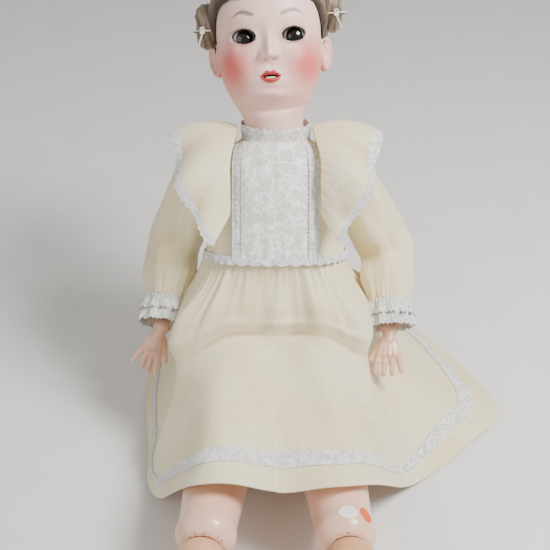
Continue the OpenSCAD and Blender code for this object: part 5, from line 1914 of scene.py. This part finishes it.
@dataclass
class Elastics:
    """The two cords that string the limbs, as one straight run in each body they pass through.

    Args:
        radius: Radius of the cord.
        chest: Half width, depth and drop below the shoulders of the arm cord's turn in the trunk.
        pin: How far below the knee the leg cord's pin lies.
        hang: How far below the neck the leg cord hangs on its spring.
    """

    radius: float = 1.8
    chest: tuple = (28.0, 9.0, 28.0)
    pin: float = 32.0
    hang: float = 68.0

    def run(self, name: str, start: np.ndarray, end: np.ndarray, body: str, *nodes: str) -> None:
        """Makes one straight run of a cord with rounded ends."""
        long = float(np.linalg.norm(end - start))
        bend = np.linspace(0, math.pi / 2, 6)
        low = [(self.radius * math.sin(a), -self.radius * math.cos(a)) for a in bend]
        high = [(self.radius * math.cos(a), long + self.radius * math.sin(a)) for a in bend]
        made = lathe(name, [(0, low[0][1])] + low[1:] + high[:-1] + [(0, high[-1][1])], start, end - start, 16)
        only(made)
        bpy.ops.object.shade_smooth()
        hand_over(made, Cupboard.CORD, body, "elastic", *nodes)

    def build(self) -> None:
        """Makes the arm cord's and the leg cord's runs."""
        turns = []
        apex = TORSO.out([0, 0, float(np.linalg.norm(NECK - HIPS)) - self.hang])
        for side in Side:
            s, tag = side.value, side.tag
            shoulder, elbow, wrist = (pivot(j + tag) for j in ("shoulder_swing_", "elbow_bend_", "wrist_bend_"))
            hip, knee = pivot("hip_swing_" + tag), pivot("knee_bend_" + tag)
            high = float((shoulder - HIPS) @ TORSO.rise)
            turns.append(TORSO.out([s * self.chest[0], self.chest[1], high - self.chest[2]]))
            down = axis("shin_twist_" + tag)
            down = down if down[2] < 0 else -down
            first = side is Side.LEFT
            self.run("arm_cord_chest_" + tag, turns[-1], shoulder, "torso", *(["arm_elastic"] if first else []))
            self.run("arm_cord_upper_" + tag, shoulder, elbow, "upper_arm_" + tag)
            self.run("arm_cord_fore_" + tag, elbow, wrist - 2.2 * unit(wrist - elbow), "forearm_" + tag)
            self.run("leg_cord_hip_" + tag, apex, hip, "torso", *(["leg_elastic"] if first else []))
            self.run("leg_cord_thigh_" + tag, hip, knee, "thigh_" + tag)
            self.run("leg_cord_shin_" + tag, knee, knee + self.pin * down, "lower_leg_" + tag)
        self.run("arm_cord_across", turns[0], turns[1], "torso")


# The part's own solids, the stage and the camera ------------------------------------------


@dataclass
class Studio:
    """A pale floor, soft light from the doll's left and above, and the camera.

    Args:
        camera_at: Where the camera stands, in metres.
        tilt: Angle of the camera from straight down, in degrees.
        lens: Focal length on a 36 mm wide sensor.
    """

    camera_at: tuple = (-0.0004, -0.599, 0.619)
    tilt: float = 52.77
    lens: float = 65.4545

    def floor(self) -> None:
        """Lays the floor under the doll."""
        bpy.ops.mesh.primitive_plane_add(size=6, location=(0, 0.8, 0))
        floor = bpy.context.active_object
        floor.name = "studio_floor"
        settle(floor)
        floor.data.materials.append(Cupboard.take(Cupboard.FLOOR))

    def lamp(self, name: str, at: tuple, to: tuple, power: float, size: float) -> None:
        """Hangs a square soft light that looks at a point."""
        data = bpy.data.lights.new(name, "AREA")
        data.energy, data.size, data.shape = power, size, "SQUARE"
        made = bpy.data.objects.new(name, data)
        bpy.context.collection.objects.link(made)
        made.location = at
        made.rotation_euler = (Vector(to) - Vector(at)).to_track_quat("-Z", "Y").to_euler()

    def build(self) -> None:
        """Sets the stage and makes the camera the scene's own."""
        self.floor()
        self.lamp("key_light", (0.65, -0.25, 1.05), (0, 0, 0.12), 23.0, 0.4)
        self.lamp("fill_light", (-0.9, -0.7, 0.8), (0, 0, 0.15), 5.0, 1.0)
        world = bpy.data.worlds.new("studio_world")
        world.use_nodes = True
        backdrop = world.node_tree.nodes["Background"]
        backdrop.inputs["Color"].default_value = tint("F2F1F0")
        backdrop.inputs["Strength"].default_value = 0.52
        bpy.context.scene.world = world
        data = bpy.data.cameras.new("studio_camera")
        data.lens, data.sensor_width = self.lens, 36.0
        camera = bpy.data.objects.new("studio_camera", data)
        camera.location = self.camera_at
        camera.rotation_euler = (math.radians(self.tilt), 0, 0)
        bpy.context.collection.objects.link(camera)
        bpy.context.scene.camera = camera


def finish_nodes() -> None:
    """Gives each of the part's own solids that stays the finish of what it is made of."""
    kept = {"crown_pate": Cupboard.CORK, "teeth": Cupboard.TOOTH, "eye_rocker": Cupboard.WIRE, "eye_weight": Cupboard.LEAD,
            "eye_bearing": Cupboard.PLASTER, "neck_plug": Cupboard.WOOD, "neck_hook": Cupboard.WIRE, "neck_spring": Cupboard.WIRE,
            "wrist_pin": Cupboard.WIRE, "leg_pin": Cupboard.WIRE, "elastic": Cupboard.CORD, "torso_shell": Cupboard.BODY,
            "ball": Cupboard.BALL, "upper_arm": Cupboard.BODY, "forearm": Cupboard.BODY, "thigh": Cupboard.LEG,
            "lower_leg": Cupboard.LEG}
    for name in frame["nodes"]:
        solid = bpy.data.objects[name]
        found = [finish for key, finish in kept.items() if key in name]
        solid.data.materials.clear()
        solid.data.materials.append(Cupboard.take(found[0] if found else Cupboard.SILK))
        LOG.debug("%s: %s", name, found[0].name if found else "silk")


def doll() -> None:
    """Makes every visible piece of the doll."""
    BisqueHead().build()
    Wig().build()
    for side, turn in ((Side.LEFT, -7.0), (Side.RIGHT, -46.0)):
        GlassEye(side).build()
        Leg(side).build()
        Hand(side, turn).build()
        Sleeve(side).build()
        Bertha(side).build()
    ThighLabel("paper_label", 159, 4, (6.0, 7.2), Cupboard.PAPER).build()
    ThighLabel("orange_dot", 158, 43, (6.2, 5.2), Cupboard.ORANGE).build()
    Elastics().build()
    Bodice().build()
    Skirt().build()


def main() -> None:
    """Builds the doll and its stage."""
    logging.basicConfig(level=logging.INFO, format="%(name)s %(message)s")
    finish_nodes()
    doll()
    Studio().build()
    bpy.context.view_layer.update()


if __name__ == "__main__":
    main()
